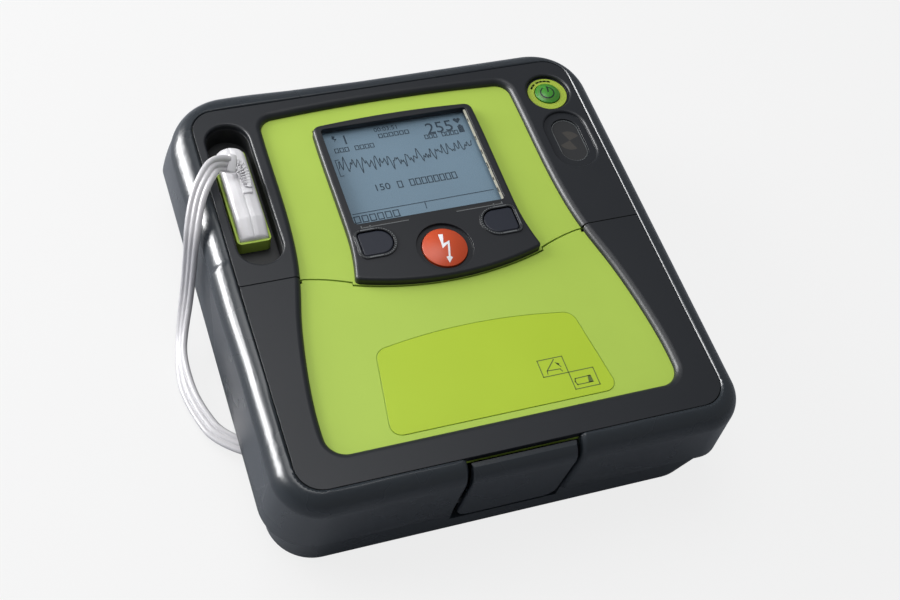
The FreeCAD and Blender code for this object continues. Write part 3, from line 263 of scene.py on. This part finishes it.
def slabs(name, outlines, level, thick=0.06):
    """Thin flat plates, one for each plan outline, whose tops are at a level."""
    points, faces = [], []
    for outline in outlines:
        start, count = len(points), len(outline)
        points += [(x, y, level) for x, y in outline] + [(x, y, level - thick) for x, y in outline]
        faces.append(list(range(start, start + count)))
        faces.append(list(range(start + 2 * count - 1, start + count - 1, -1)))
        faces += [[start + i, start + count + i, start + count + (i + 1) % count, start + (i + 1) % count]
                  for i in range(count)]
    return recalculated(mesh_of(name, points, faces))


def stroke(points, width, closed=False):
    """Plan outlines of a line of even width through points, one for each run."""
    ends = list(zip(points, points[1:] + points[:1] if closed else points[1:]))
    quads = []
    for (x0, y0), (x1, y1) in ends:
        run = math.hypot(x1 - x0, y1 - y0)
        ux, uy = (x1 - x0) / run * width / 2, (y1 - y0) / run * width / 2
        quads.append([(x0 - ux - uy, y0 - uy + ux), (x0 - ux + uy, y0 - uy - ux),
                      (x1 + ux + uy, y1 + uy - ux), (x1 + ux - uy, y1 + uy + ux)])
    return quads


def arc(x, y, radius, start, end, steps=24):
    """Points along an arc, in degrees."""
    turns = [math.radians(start + (end - start) * i / steps) for i in range(steps + 1)]
    return [(x + radius * math.cos(turn), y + radius * math.sin(turn)) for turn in turns]


def box_outline(x0, x1, y0, y1):
    """A rectangle's four corners."""
    return [(x0, y0), (x1, y0), (x1, y1), (x0, y1)]


def capsule(x, y0, y1, radius):
    """A slot's outline along Y."""
    return arc(x, y1 - radius, radius, 0, 180, 16) + arc(x, y0 + radius, radius, 180, 360, 16)


# Height of a numeral as a share of the type size, and half the thickness of its plate.
NUMERAL_SHARE, NUMERAL_HALF = 0.72, 0.00003


def digits(name, text, x, y, height, level):
    """Numerals on the liquid crystal as thin plates, from their lower left corner."""
    curve = bpy.data.curves.new(name, "FONT")
    curve.body, curve.size, curve.extrude = text, height / NUMERAL_SHARE * MM, NUMERAL_HALF
    curve.resolution_u = 3
    holder = bpy.data.objects.new(name + "_text", curve)
    scene.collection.objects.link(holder)
    bpy.context.view_layer.update()
    mesh = bpy.data.meshes.new_from_object(holder)
    bpy.data.objects.remove(holder)
    mesh.transform(Matrix.Translation(Vector((x, y, level)) * MM))
    return piece(name, mesh, "ink")


# ---------------------------------------------------------------- the cord and its plug

# The cord's route in metres, as in the CAD: from the boot on the plug, over the side, along the floor and
# into the base.
ROUTE = [(-0.0956, 0.071, 0.0796), (-0.1017, 0.071, 0.0835), (-0.1099, 0.0606, 0.085),
         (-0.1152, 0.0531, 0.0808), (-0.1192, 0.0448, 0.075), (-0.122, 0.0373, 0.0674),
         (-0.1229, 0.0359, 0.0504), (-0.1244, 0.0342, 0.0275), (-0.1292, 0.0232, 0.0125),
         (-0.1337, 0.0087, 0.006), (-0.1348, -0.0101, 0.0048), (-0.1313, -0.0273, 0.005),
         (-0.1252, -0.0436, 0.0068), (-0.1132, -0.053, 0.0094)]
CORD_LENGTH, CORD_WIDTH, CORE_RADIUS = 0.193, 0.009, 0.0016
# Which way the flat side of the cord faces at shares of its length.
FACING = [(0.0, (-0.1, -0.75, 0.65)), (0.16, (-0.45, -0.45, 0.77)), (0.34, (-0.75, -0.5, 0.42)),
          (0.5, (-0.85, -0.45, 0.3)), (0.62, (-0.9, -0.1, 0.42)), (0.76, (-0.5, -0.25, 0.83)),
          (1.0, (0.0, -0.2, 0.98))]
# The cord's outline, arc by arc: which core, and the arc's first and last turn in degrees.
CORE_ARCS = [(-1, 180, 30), (0, 150, 30), (1, 150, 0), (1, -12, -150), (0, -30, -150), (-1, -30, -168)]
CORE_STEPS, LINE_STEPS = 6, 12


def smooth_line(name, points):
    """Points along the smooth curve that a few control points give."""
    curve = bpy.data.curves.new(name, "CURVE")
    curve.dimensions, curve.resolution_u = "3D", LINE_STEPS
    spline = curve.splines.new("NURBS")
    spline.points.add(len(points) - 1)
    for place, point in zip(spline.points, points):
        place.co = (*point, 1)
    spline.order_u, spline.use_endpoint_u = 3, True
    holder = bpy.data.objects.new(name + "_line", curve)
    scene.collection.objects.link(holder)
    bpy.context.view_layer.update()
    mesh = bpy.data.meshes.new_from_object(holder)
    found = [vertex.co.copy() for vertex in mesh.vertices]
    bpy.data.objects.remove(holder)
    return found


def facing_at(share, table):
    """Direction between the table's two nearest entries."""
    for (s0, d0), (s1, d1) in zip(table, table[1:]):
        if share <= s1 + 1e-9:
            t = (share - s0) / (s1 - s0)
            return Vector(d0).lerp(Vector(d1), t * t * (3 - 2 * t)).normalized()
    return Vector(table[-1][1]).normalized()


def frames(line, table):
    """Point, tangent, width direction, facing direction and length so far, all along a line."""
    lengths = [0.0]
    for a, b in zip(line, line[1:]):
        lengths.append(lengths[-1] + (b - a).length)
    found = []
    for i, point in enumerate(line):
        tangent = (line[min(i + 1, len(line) - 1)] - line[max(i - 1, 0)]).normalized()
        facing = facing_at(lengths[i] / lengths[-1], table)
        across = tangent.cross(facing).normalized()
        found.append((point, tangent, across, across.cross(tangent).normalized(), lengths[i]))
    return found


def flat_section():
    """Outline of three round cores side by side, in metres."""
    pitch = CORD_WIDTH / 2 - CORE_RADIUS
    outline = []
    for core, first, last in CORE_ARCS:
        for step in range(CORE_STEPS + 1):
            turn = math.radians(first + (last - first) * step / CORE_STEPS)
            outline.append((core * pitch + CORE_RADIUS * math.cos(turn), CORE_RADIUS * math.sin(turn)))
    return outline


def swept(name, stations, outline):
    """A closed skin through one outline placed at every station."""
    points, faces, count = [], [], len(outline)
    for point, _, across, up, _ in stations:
        points += [point + across * u + up * v for u, v in outline]
    for i in range(len(stations) - 1):
        for j in range(count):
            k = (j + 1) % count
            faces.append([i * count + j, i * count + k, (i + 1) * count + k, (i + 1) * count + j])
    faces.append(list(range(count)))
    faces.append(list(range(len(points) - 1, len(points) - 1 - count, -1)))
    mesh = bpy.data.meshes.new(name)
    mesh.from_pydata(points, [], faces)
    return recalculated(mesh)


def rounded_box_mesh(name, size, place, axes, edge):
    """A box with rounded edges: size and place in metres, and its three directions."""
    work = bmesh.new()
    bmesh.ops.create_cube(work, size=1)
    for vertex in work.verts:
        vertex.co = Vector([c * s for c, s in zip(vertex.co, size)])
    bmesh.ops.bevel(work, geom=work.edges[:] + work.verts[:], offset=edge, segments=2, affect="EDGES",
                    profile=0.5)
    turn = Matrix([[axes[col][row] for col in range(3)] for row in range(3)]).to_4x4()
    bmesh.ops.transform(work, matrix=Matrix.Translation(place) @ turn, verts=work.verts)
    mesh = bpy.data.meshes.new(name)
    work.to_mesh(mesh)
    work.free()
    return mesh


def joined(name, meshes):
    """One mesh from several."""
    work = bmesh.new()
    for mesh in meshes:
        work.from_mesh(mesh)
    whole = bpy.data.meshes.new(name)
    work.to_mesh(whole)
    work.free()
    return whole


BOOT_ROUTE = [(-0.0885, 0.0585, 0.0738), (-0.0878, 0.0645, 0.0752), (-0.0888, 0.0692, 0.0772),
              (-0.0925, 0.0716, 0.0789), (-0.0975, 0.0716, 0.0806)]
BOOT_FACING = [(0.0, (0.0, 0.0, 1.0)), (0.6, (0.0, -0.2, 1.0)), (1.0, (-0.05, -0.6, 0.8))]
# Corners of the spine's section, as shares of its half width and half thickness.
BAR_SECTION = [(-1, -0.6), (-0.7, -1), (0.7, -1), (1, -0.6), (1, 0.6), (0.7, 1), (-0.7, 1), (-1, 0.6)]
SPINE_ASIDE, SPINE_HALF_WIDTH, SPINE_HALF_DEPTH = 0.0016, 0.0012, 0.0015
RIBS, FIRST_RIB, RIB_SPREAD, RIB_THICK, RIB_EDGE = 11, 0.05, 0.75, 0.0007, 0.00022
COLLAR_STATION, COLLAR_SIZE, COLLAR_EDGE = -8, (0.0098, 0.0046, 0.0048), 0.0013
FOOT_SIZE, FOOT_EDGE, FOOT_SHIFT = (0.0052, 0.0042, 0.0016), 0.0005, Vector((0, 0.001, 0.0002))


def boot():
    """Comb-toothed boot that turns the cord from the plug's top over the side."""
    stations = frames(smooth_line("boot", BOOT_ROUTE), BOOT_FACING)
    total = stations[-1][4]
    spine = [(station[0] + station[2] * SPINE_ASIDE, *station[1:]) for station in stations]
    parts = [swept("spine", spine, [(u * SPINE_HALF_WIDTH, v * SPINE_HALF_DEPTH) for u, v in BAR_SECTION])]
    for number in range(RIBS):
        wanted = total * (FIRST_RIB + RIB_SPREAD * number / (RIBS - 1))
        point, tangent, across, up, along = min(stations, key=lambda item: abs(item[4] - wanted))
        wide = 0.0038 + 0.0035 * along / total
        parts.append(rounded_box_mesh("rib", (wide, RIB_THICK, 0.003 + 0.0012 * along / total),
                                      point - across * (wide / 2 - 0.0028), (across, tangent, up), RIB_EDGE))
    point, tangent, across, up, _ = stations[COLLAR_STATION]
    parts.append(rounded_box_mesh("collar", COLLAR_SIZE, point, (across, tangent, up), COLLAR_EDGE))
    upright = (Vector((1, 0, 0)), Vector((0, 1, 0)), Vector((0, 0, 1)))
    parts.append(rounded_box_mesh("foot", FOOT_SIZE, Vector(BOOT_ROUTE[0]) - FOOT_SHIFT, upright, FOOT_EDGE))
    mesh = joined("strain_relief_boot", parts)
    smooth(mesh, 40)
    obj = piece("strain_relief_boot", mesh, "white")
    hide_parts("strain_relief")
    return obj


PLUG_COLUMNS, PLUG_ROWS, FINE_FROM = 48, 150, 0.8
PLUG_BACK_ROUND, PLUG_SIDE_ROUND = 0.0066, 0.0024
# Each pair is how far a part of the plug's surface falls, and over what length it does so.
PLUG_SLOPE, PLUG_SLOPE_RUN = 0.0046, 0.0105
PLUG_LIP, PLUG_LIP_RUN = 0.0011, 0.0012
PLUG_DOME, PLUG_DOME_RUN = 0.0042, 0.010
PLUG_CANT, PLUG_CANT_RUN = 0.0016, 0.0052
PLUG_PINCH, PLUG_PINCH_RUN = 0.0008, 0.0015
SEAM_DEPTH, SEAM_WIDTH = 0.00035, 0.0003


def plug_half_width(half, from_front, from_back):
    """Half width at a place along the plug: rounded at the back, pinched a little at the front."""
    if from_back < PLUG_BACK_ROUND:
        inset = PLUG_BACK_ROUND - math.sqrt(max(0, PLUG_BACK_ROUND ** 2 - (PLUG_BACK_ROUND - from_back) ** 2))
        return half - inset * 0.92
    return half - PLUG_PINCH * max(0, 1 - from_front / PLUG_PINCH_RUN) ** 2


def plug_crown(top, from_front, from_back):
    """Level of the plug's middle at a place along it: a sloping front, then flat, then a domed back."""
    front = max(0, 1 - from_front / PLUG_SLOPE_RUN)
    crown = top - PLUG_SLOPE * front ** 1.15 - PLUG_LIP * max(0, 1 - from_front / PLUG_LIP_RUN) ** 2
    back = max(0, 1 - from_back / PLUG_DOME_RUN)
    return crown - PLUG_DOME * (1 - math.sqrt(max(0, 1 - back ** 2)))


def plug_points(x0, x1, y0, y1, top):
    """Points of the plug's upper surface, row by row from the front."""
    half, middle = (x1 - x0) / 2, (x0 + x1) / 2
    points = []
    for row in range(PLUG_ROWS + 1):
        share = row / PLUG_ROWS
        if share >= FINE_FROM:
            share = FINE_FROM + 0.2 * math.sin((share - FINE_FROM) / 0.2 * math.pi / 2)
        y = y0 + (y1 - y0) * share
        wide = plug_half_width(half, y - y0, y1 - y)
        crown = plug_crown(top, y - y0, y1 - y)
        for column in range(PLUG_COLUMNS + 1):
            u = math.sin((2 * column / PLUG_COLUMNS - 1) * math.pi / 2)
            x = middle + wide * u
            from_side = wide * (1 - abs(u))
            over = max(0, PLUG_SIDE_ROUND - from_side)
            drop = PLUG_SIDE_ROUND - math.sqrt(max(0, PLUG_SIDE_ROUND ** 2 - over ** 2))
            slope = PLUG_CANT * max(0, 1 - from_side / PLUG_CANT_RUN)
            seam = SEAM_DEPTH * math.exp(-((x - middle) / SEAM_WIDTH) ** 2)
            points.append(Vector((x, y, crown - drop - slope - seam)))
    return points


def plug():
    """White plug: domed back end, sloping front, and a seam along the middle."""
    low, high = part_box("plug_shell_left")[0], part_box("plug_shell_right")[1]
    points = plug_points(low.x, high.x, low.y, high.y, high.z)
    width = PLUG_COLUMNS + 1
    faces = []
    for row in range(PLUG_ROWS):
        for a in range(row * width, row * width + PLUG_COLUMNS):
            faces.append([a, a + 1, a + width + 1, a + width])
    rim = list(range(width)) + [row * width + PLUG_COLUMNS for row in range(1, PLUG_ROWS + 1)]
    rim += [PLUG_ROWS * width + column for column in range(PLUG_COLUMNS - 1, -1, -1)]
    rim += [row * width for row in range(PLUG_ROWS - 1, 0, -1)]
    start = len(points)
    points += [Vector((points[i].x, points[i].y, low.z)) for i in rim]
    for i in range(len(rim)):
        j = (i + 1) % len(rim)
        faces.append([rim[i], start + i, start + j, rim[j]])
    faces.append([start + i for i in range(len(rim))])
    mesh = bpy.data.meshes.new("plug")
    mesh.from_pydata(points, [], faces)
    recalculated(mesh)
    smooth(mesh, 50)
    obj = piece("plug", mesh, "white")
    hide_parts("plug_shell_left", "plug_shell_right")
    return obj


def electrode_cord():
    """Flat white cord of three cores, from the plug's boot over the side and back into the base."""
    line = smooth_line("cord", ROUTE)
    mesh = swept("cord", frames(line, FACING), flat_section())
    smooth(mesh, 60)
    obj = piece("cord", mesh, "cord")
    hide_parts("electrode_cord")


# ---------------------------------------------------------------- case skin

ROUND_START, FACE_MM, FLAT_HALF, SIDE_HALF, SKIRT_HALF, SKIRT_LEVEL = 61.0, 73.0, 107.0, 117.3, 119.6, 25.0
CORNER, BACK_END = 33.0, 124.6
# The crease in the left side: where it meets the rounding, how it leans, and how far it stands out.
CREASE_LEVEL, CREASE_PLACE, CREASE_LEAN, CREASE_FOOT = 61.6, 15, 0.625, 27
CREASE_WIDTH, CREASE_STEP = 1.4, 1.1
BULGE, BULGE_START, BULGE_RUN = 2.7, 28, 50
# The part of the left side that is cut finely for the crease.
STRIP_FRONT, STRIP_BACK, STRIP_BOTTOM, STRIP_HEIGHT, STRIP_ROWS = -50, 34, 26.5, 46.1, 51


def side_at(z):
    """Half width of the case at a level, in millimetres."""
    if z <= ROUND_START:
        return SKIRT_HALF + (SIDE_HALF - SKIRT_HALF) * (z - SKIRT_LEVEL) / (ROUND_START - SKIRT_LEVEL)
    up = min(1, (z - ROUND_START) / (FACE_MM - ROUND_START))
    return FLAT_HALF + (SIDE_HALF - FLAT_HALF) * math.sqrt(1 - up * up)


def ease(t):
    """Smooth step from 0 to 1."""
    t = min(1, max(0, t))
    return t * t * (3 - 2 * t)


def swell(y, z):
    """How far the left wall stands out in front of the slanted crease, in millimetres."""
    if z <= CREASE_LEVEL:
        line, width = CREASE_PLACE - (CREASE_LEVEL - z) * CREASE_LEAN, CREASE_WIDTH
        height = CREASE_STEP * max(0, (z - CREASE_FOOT) / (CREASE_LEVEL - CREASE_FOOT))
    else:
        share = (z - CREASE_LEVEL) / (FACE_MM - CREASE_LEVEL)
        line, width = CREASE_PLACE + 2 * share, CREASE_WIDTH + 3.0 * min(1, share * 1.6)
        height = CREASE_STEP * math.sqrt(max(0, 1 - share ** 4))
    step = height * ease((line + width / 2 - y) / width) * ease((y + 45) / 45)
    groove = 0.45 * height * math.exp(-((y - line - 0.3) / 0.8) ** 2) if z <= 62 else 0
    return step - groove


def outward(x, y):
    """Direction out of the case's back left corner, in plan, and of the sides next to it."""
    across, along = min(0, x + SIDE_HALF - CORNER), max(0, y - BACK_END + CORNER)
    away = math.hypot(across, along)
    return Vector((across / away, along / away, 0)) if away > 1 else None


def back_bulge(y, z):
    """How far the case's back left corner bows out beyond the plain wall, in millimetres."""
    if z <= ROUND_START:
        share = max(0, (z - SKIRT_LEVEL) / (ROUND_START - SKIRT_LEVEL))
        height = BULGE * math.sin(math.pi / 2 * share) ** 0.9
    else:
        height = BULGE * math.sqrt(max(0, 1 - ((z - ROUND_START) / (FACE_MM - ROUND_START)) ** 2))
    return height * ease((y - BULGE_START) / BULGE_RUN)


def sliced(work, faces, cuts):
    """Cut faces along planes, each an axis and a place in millimetres; returns everything they became."""
    geom = list({item for face in faces for item in (face, *face.edges, *face.verts)})
    for axis, place in cuts:
        where, normal = Vector(), Vector()
        where[axis], normal[axis] = place * MM, 1
        geom = bmesh.ops.bisect_plane(work, geom=geom, plane_co=where, plane_no=normal, dist=1e-7)["geom"]
    return geom


def outward_face(face):
    """Whether a face looks out of the case near its back left corner."""
    middle = face.calc_center_median() / MM
    way = outward(middle.x, middle.y)
    return way is not None and face.normal.dot(way) > 0.15 and middle.z > SKIRT_LEVEL


def case_skin():
    """The outer case, with the slanted crease in its left side and the fuller corner behind it."""
    mesh = frame["nodes"]["outer_case"].data.copy()
    work = bmesh.new()
    work.from_mesh(mesh)
    bmesh.ops.remove_doubles(work, verts=work.verts, dist=0.000002)

    def outside(face):
        """Whether a face is on the left side's outer surface."""
        return all(v.co.x < -0.104 and abs(v.co.x / MM + side_at(v.co.z / MM)) < 0.35 for v in face.verts)

    def near(vertex):
        """Whether a vertex is on the part that the crease runs through."""
        return STRIP_FRONT - 0.2 < vertex.co.y / MM < STRIP_BACK + 0.2

    def bowed(vertex):
        """Whether a vertex is near the back left corner, between the skirt and the face."""
        in_plan = vertex.co.x < -0.02 and vertex.co.y > 0.03
        return in_plan and SKIRT_LEVEL + 0.2 < vertex.co.z / MM < FACE_MM - 0.1

    left = [face for face in work.faces if outside(face)]
    strip = sliced(work, left, [(1, STRIP_FRONT), (1, STRIP_BACK)])
    strip = [item for item in strip if isinstance(item, bmesh.types.BMFace) and all(map(near, item.verts))]
    # Level cuts all the way up, wide columns in front, and fine columns where the crease is.
    cuts = [(2, STRIP_BOTTOM + place * STRIP_HEIGHT / STRIP_ROWS) for place in range(STRIP_ROWS + 1)]
    cuts += [(1, -45 + 3 * place) for place in range(11)]
    cuts += [(1, -13 + 0.7 * place) for place in range(62)]
    for vertex in sliced(work, strip, cuts):
        if isinstance(vertex, bmesh.types.BMVert) and near(vertex) and vertex.co.z / MM > SKIRT_LEVEL + 0.5:
            x, y, z = [c / MM for c in vertex.co]
            up = min(1, max(0, (z - ROUND_START) / (FACE_MM - ROUND_START)))
            amount = swell(y, z)
            vertex.co = Vector((-side_at(z) - math.sqrt(1 - up * up) * amount, y, z + up * amount)) * MM
    work.normal_update()
    corner = [face for face in work.faces if any(map(bowed, face.verts)) and outward_face(face)]
    cuts = [(2, 27 + level * 3.1) for level in range(15)] + [(1, 34 + place * 9) for place in range(7)]
    shifts = []
    for vertex in sliced(work, corner, cuts):
        moves = isinstance(vertex, bmesh.types.BMVert) and bowed(vertex)
        if moves and all(map(outward_face, vertex.link_faces)):
            x, y, z = [c / MM for c in vertex.co]
            shifts.append((vertex, outward(x, y) * back_bulge(y, z) * ease((-x - 20) / 60) * MM))
    for vertex, shift in shifts:
        vertex.co += shift
    work.to_mesh(mesh)
    work.free()
    smooth(mesh, 30)
    obj = piece("case_skin", mesh, "case")
    obj.modifiers.new("even_normals", "WEIGHTED_NORMAL").keep_sharp = True
    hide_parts("outer_case")


# ---------------------------------------------------------------- screen

LCD_LEVEL, WINDOW_EDGE_LEVEL = 69.2, 73.0


def trace_height(x):
    """Height of the heart's trace at a place across the screen: an irregular quiver, strongest at left."""
    quiver = (math.sin(1.85 * x) + 0.8 * math.sin(2.63 * x + 1.1) + 0.7 * math.sin(1.07 * x + 0.4)
              + 0.5 * math.sin(4.4 * x + 2.0))
    strength = 2.35 - 0.012 * (x + 38)
    spikes = sum(size * math.exp(-((x - place) / 0.5) ** 2)
                 for place, size in ((-14, 5), (-2.5, -4), (6.5, 6), (12, -4), (21, 4), (29, 3)))
    return 65.2 - 1.3 * math.cos(x / 13) + strength * quiver * 1.05 + spikes * 0.8


def blanks(count, x, y, height, pitch, skip=(), line=0.42):
    """A row of hollow blocks that stands for a line of writing."""
    found = []
    for number in range(count):
        if number not in skip:
            x0 = x + number * pitch
            found += stroke(box_outline(x0, x0 + pitch * 0.68, y, y + height), line, closed=True)
    return found


def screen():
    """Generic readings, a heart trace and two icons on the liquid crystal, and a painted highlight along the
    window's right edge.
    """
    places = [-36.8 + 0.38 * i for i in range(199)]
    marks = stroke([(x, trace_height(x)) for x in places], 0.42)
    marks += stroke([(-35.8, 70.4), (-37.6, 70.4), (-37.6, 59.6), (-35.8, 59.6)], 0.35)
    marks += stroke([(-38.5, 34.4), (39.0, 34.9)], 0.4) + stroke([(0.6, 34.4), (0.4, 30.4)], 0.4)
    marks += blanks(6, -9.8, 80.6, 2.4, 2.95) + blanks(8, -35.8, 75.2, 2.6, 2.8, skip=(3,))
    marks += blanks(8, 14.6, 75.0, 2.5, 2.45, skip=(3,))
    marks += blanks(10, -9.6, 46.3, 4.0, 3.35, skip=(1,), line=0.5)
    marks += blanks(6, -38.6, 28.7, 3.9, 4.2, line=0.5)
    heart = arc(34.5, 84.7, 1.05, 20, 200, 8) + [(35.45, 82.0)] + arc(36.4, 84.7, 1.05, -20, 160, 8)[:7]
    marks += [heart, box_outline(34.4, 37.4, 75.6, 80.2), box_outline(35.2, 36.6, 80.2, 81.0)]
    marks += [[(-34.8, 86.8), (-33.2, 86.2), (-34.0, 84.8), (-32.6, 84.4), (-34.4, 82.6), (-33.9, 84.0),
               (-35.2, 84.7)]]
    piece("screen_marks", slabs("screen_marks", marks, LCD_LEVEL + 0.02), "ink")
    readings = (("rate", "255", 16.6, 77.9, 7.6), ("count", "1", -30.6, 79.9, 6.4),
                ("clock", "00:03:51", -11.4, 84.9, 2.9), ("energy", "150", -22.9, 46.4, 4.4))
    for name, text, x, y, height in readings:
        digits("digits_" + name, text, x, y, height, LCD_LEVEL + 0.02)
    # A pale strip on the window's right inner edge is a painted highlight of the glass edge, with a few dark
    # dashes over it.
    edge = slabs("window_edge_highlight", [box_outline(39.6, 40.8, 25.4, 87.6)], WINDOW_EDGE_LEVEL, 0.4)
    piece("window_edge_highlight", edge, "pale")
    runs = ((30, 3), (38, 2), (46, 4), (56, 3), (66, 2.6), (79, 2))
    dashes = [box_outline(39.55, 40.1, y, y + long) for y, long in runs]
    mesh = slabs("window_edge_marks", dashes, WINDOW_EDGE_LEVEL + 0.05, 0.1)
    piece("window_edge_marks", mesh, "brown")


# ---------------------------------------------------------------- printed marks and buttons

def bezel_marks():
    """Bracket lines between the screen and the soft keys, as painted shade in their grooves beside painted
    highlights on their edges, and a thin painted highlight on the rim round each key.
    """
    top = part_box("screen_bezel")[1].z / MM
    groove = top - 0.6
    # Dark strokes are painted shade in the bracket grooves, light strokes a painted highlight on the groove
    # edges, and the rim strokes a painted highlight on each key rim's rounded top.
    dark, light, rim_highlights = [], [], []
    for side in (-1, 1):
        dark += stroke([(side * 12.9, 22.4), (side * 38.0, 22.4)], 0.9)
        light += stroke([(side * 13.2, 21.8), (side * 38.0, 21.8)], 0.42)
        light += stroke([(side * 33.6, 22.3), (side * 33.6, 20.9)], 0.8)
        light += stroke([(side * 38.2, 22.8), (side * 38.2, 21.7)], 0.55)
        edge = [(31.75, 20.1)] + arc(31.75, 11.8, 8.3, 90, 270, 20)[1:] + arc(40.0, 6.7, 3.2, 270, 360, 6)
        edge += arc(40.0, 16.9, 3.2, 0, 90, 6)
        rim_highlights += stroke([(side * x, y) for x, y in edge], 0.55, closed=True)
    piece("key_rim_highlights", slabs("key_rim_highlights", rim_highlights, top + 0.02), "line")
    piece("bezel_groove_shade", slabs("bezel_groove_shade", dark, groove + 0.03), "shadow")
    piece("bezel_groove_highlights", slabs("bezel_groove_highlights", light, groove + 0.06), "line")


def on_dome(outlines, centre, radius, rim, crown, lift=0.05, cell=0.5):
    """Thin plates laid over a domed cap: each outline is cut into strips that follow the dome."""
    work = bmesh.new()
    for outline in outlines:
        work.faces.new([work.verts.new(Vector((x, y, 0))) for x, y in outline])
    reach = int(radius / cell) + 1
    for axis in (0, 1):
        for number in range(-reach, reach + 1):
            where, normal = Vector(), Vector()
            where[axis], normal[axis] = centre[axis] + number * cell, 1
            bmesh.ops.bisect_plane(work, geom=work.verts[:] + work.edges[:] + work.faces[:], plane_co=where,
                                   plane_no=normal, dist=1e-6)
    bulge = crown - rim
    ball = (radius ** 2 + bulge ** 2) / (2 * bulge)
    for vertex in work.verts:
        away = math.hypot(vertex.co.x - centre[0], vertex.co.y - centre[1])
        vertex.co.z = crown - ball + math.sqrt(ball ** 2 - min(away, radius) ** 2) + lift
        vertex.co *= MM
    mesh = bpy.data.meshes.new("mark")
    work.to_mesh(mesh)
    work.free()
    for face in mesh.polygons:
        if face.normal.z < 0:
            face.flip()
    return mesh


SHOCK_RADIUS, SHOCK_BULGE, POWER_RADIUS, POWER_BULGE = 11.6, 2.6, 6.9, 1.8


def button_marks():
    """Lightning arrow on the shock button, a power sign on the green button, and dashes on its ring."""
    blade = [(-1.7, 9.2), (0.8, 8.8), (-0.9, 3.1), (-2.3, -0.1)]
    cross = [(-1.6, 2.4), (2.6, 4.1), (2.2, 3.0), (-2.3, -0.1)]
    shaft = [(1.2, 3.2), (2.6, 4.1), (0.3, -5.0), (-0.6, -4.8)]
    tip = [(-1.9, -4.9), (-1.0, -8.0), (1.4, -5.6), (-0.1, -4.6)]
    low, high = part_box("shock_button")
    centre = ((low.x + high.x) / 2 / MM, (low.y + high.y) / 2 / MM)
    crown = high.z / MM
    mesh = on_dome([blade, cross, shaft, tip], centre, SHOCK_RADIUS, crown - SHOCK_BULGE, crown)
    piece("shock_arrow", mesh, "mark", "shock_key")
    low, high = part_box("power_button")
    centre = ((low.x + high.x) / 2 / MM, (low.y + high.y) / 2 / MM)
    crown = high.z / MM
    sign = stroke(arc(centre[0] - 0.7, centre[1] - 0.6, 3.7, 118, 422, 26), 0.75)
    sign += stroke([(centre[0] - 0.2, centre[1] - 0.4), (centre[0] + 0.5, centre[1] + 3.4)], 0.75)
    mesh = on_dome(sign, centre, POWER_RADIUS, crown - POWER_BULGE, crown)
    piece("power_sign", mesh, "bezel", "power_key")
    step = stroke(arc(centre[0], centre[1], 5.4, 0, 360, 48), 0.25)
    mesh = on_dome(step, centre, POWER_RADIUS, crown - POWER_BULGE, crown, 0.03)
    piece("power_step", mesh, "olive", "power_key")
    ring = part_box("power_ring")[1].z / MM
    ticks = []
    for turn in (62, 76, 90, 104, 124, 138):
        ticks += stroke(arc(centre[0], centre[1], 9.2, turn, turn + 7, 3), 1.1)
    piece("ring_marks", slabs("ring_marks", ticks, ring + 0.03), "olive")


def status_marks():
    """A thin outline as a painted highlight on the rim, and two dim quarters of a disc in the status window.
    """
    low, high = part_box("status_window")
    x, half = (low.x + high.x) / 2 / MM, (high.x - low.x) / 2 / MM
    y0, y1, top = low.y / MM, high.y / MM, high.z / MM
    outline = capsule(x, y0 + 0.5, y1 - 0.5, half - 0.5)
    # The outline is a painted highlight on the window's rim.
    mesh = slabs("status_rim_highlight", stroke(outline, 0.45, closed=True), top + 0.03)
    piece("status_rim_highlight", mesh, "line")
    middle = (y0 + y1) / 2
    quarters = [[(x, middle)] + arc(x, middle, 6.4, start, start + 90, 10) for start in (200, 20)]
    piece("status_quarters", slabs("status_quarters", quarters, top + 0.02), "brown")
    mesh = slabs("status_dark", [capsule(x, y0 + 0.6, y1 - 0.6, half - 0.6)], top + 0.01)
    piece("status_dark", mesh, "dark")


def label_marks():
    """Two small boxed pictures on the lid's label: an opening lid with an arrow, and a battery."""
    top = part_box("lid_label")[1].z / MM + 0.03
    lines = stroke(box_outline(23.7, 36.7, -78.9, -69.6), 0.5, closed=True)
    lines += stroke(box_outline(36.7, 49.5, -88.6, -78.9), 0.5, closed=True)
    lines += stroke([(26.4, -77.6), (26.7, -75.9), (33.4, -76.2), (34.0, -77.6)], 0.5)
    lines += stroke([(26.7, -75.9), (32.0, -70.5)], 0.55) + stroke([(34.2, -75.0), (32.9, -73.0)], 0.5)
    lines += stroke([(38.6, -83.0), (46.4, -82.8)], 0.5) + stroke([(38.6, -86.4), (46.2, -86.4)], 0.5)
    lines += stroke([(38.6, -83.0), (38.0, -84.6), (38.6, -86.4)], 0.6)
    shapes = [[(32.0, -72.0), (34.2, -73.2), (33.2, -74.3)],
              [(44.4, -86.6), (45.2, -82.6), (46.8, -82.6), (47.0, -86.6)]]
    piece("label_marks", slabs("label_marks", lines + shapes, top), "olive", "lid")


# ---------------------------------------------------------------- scene

camera()
plug_piece, boot_piece = plug(), boot()
electrode_cord()
studio()
floor()
for part in frame["record"]["subparts"]:
    node = frame["nodes"][part["node"]]
    smooth(node.data, 30)
    mat = SLOT_MATERIAL.get(part["material_slot"])
    paint(node, MATERIALS[mat] if mat else CLEAR)
for name in ("connector_pocket", "latch_housing", "compartment_tray"):
    paint(frame["nodes"][name], MATERIALS["dark"])
case_skin()
screen()
bezel_marks()
button_marks()
status_marks()
label_marks()
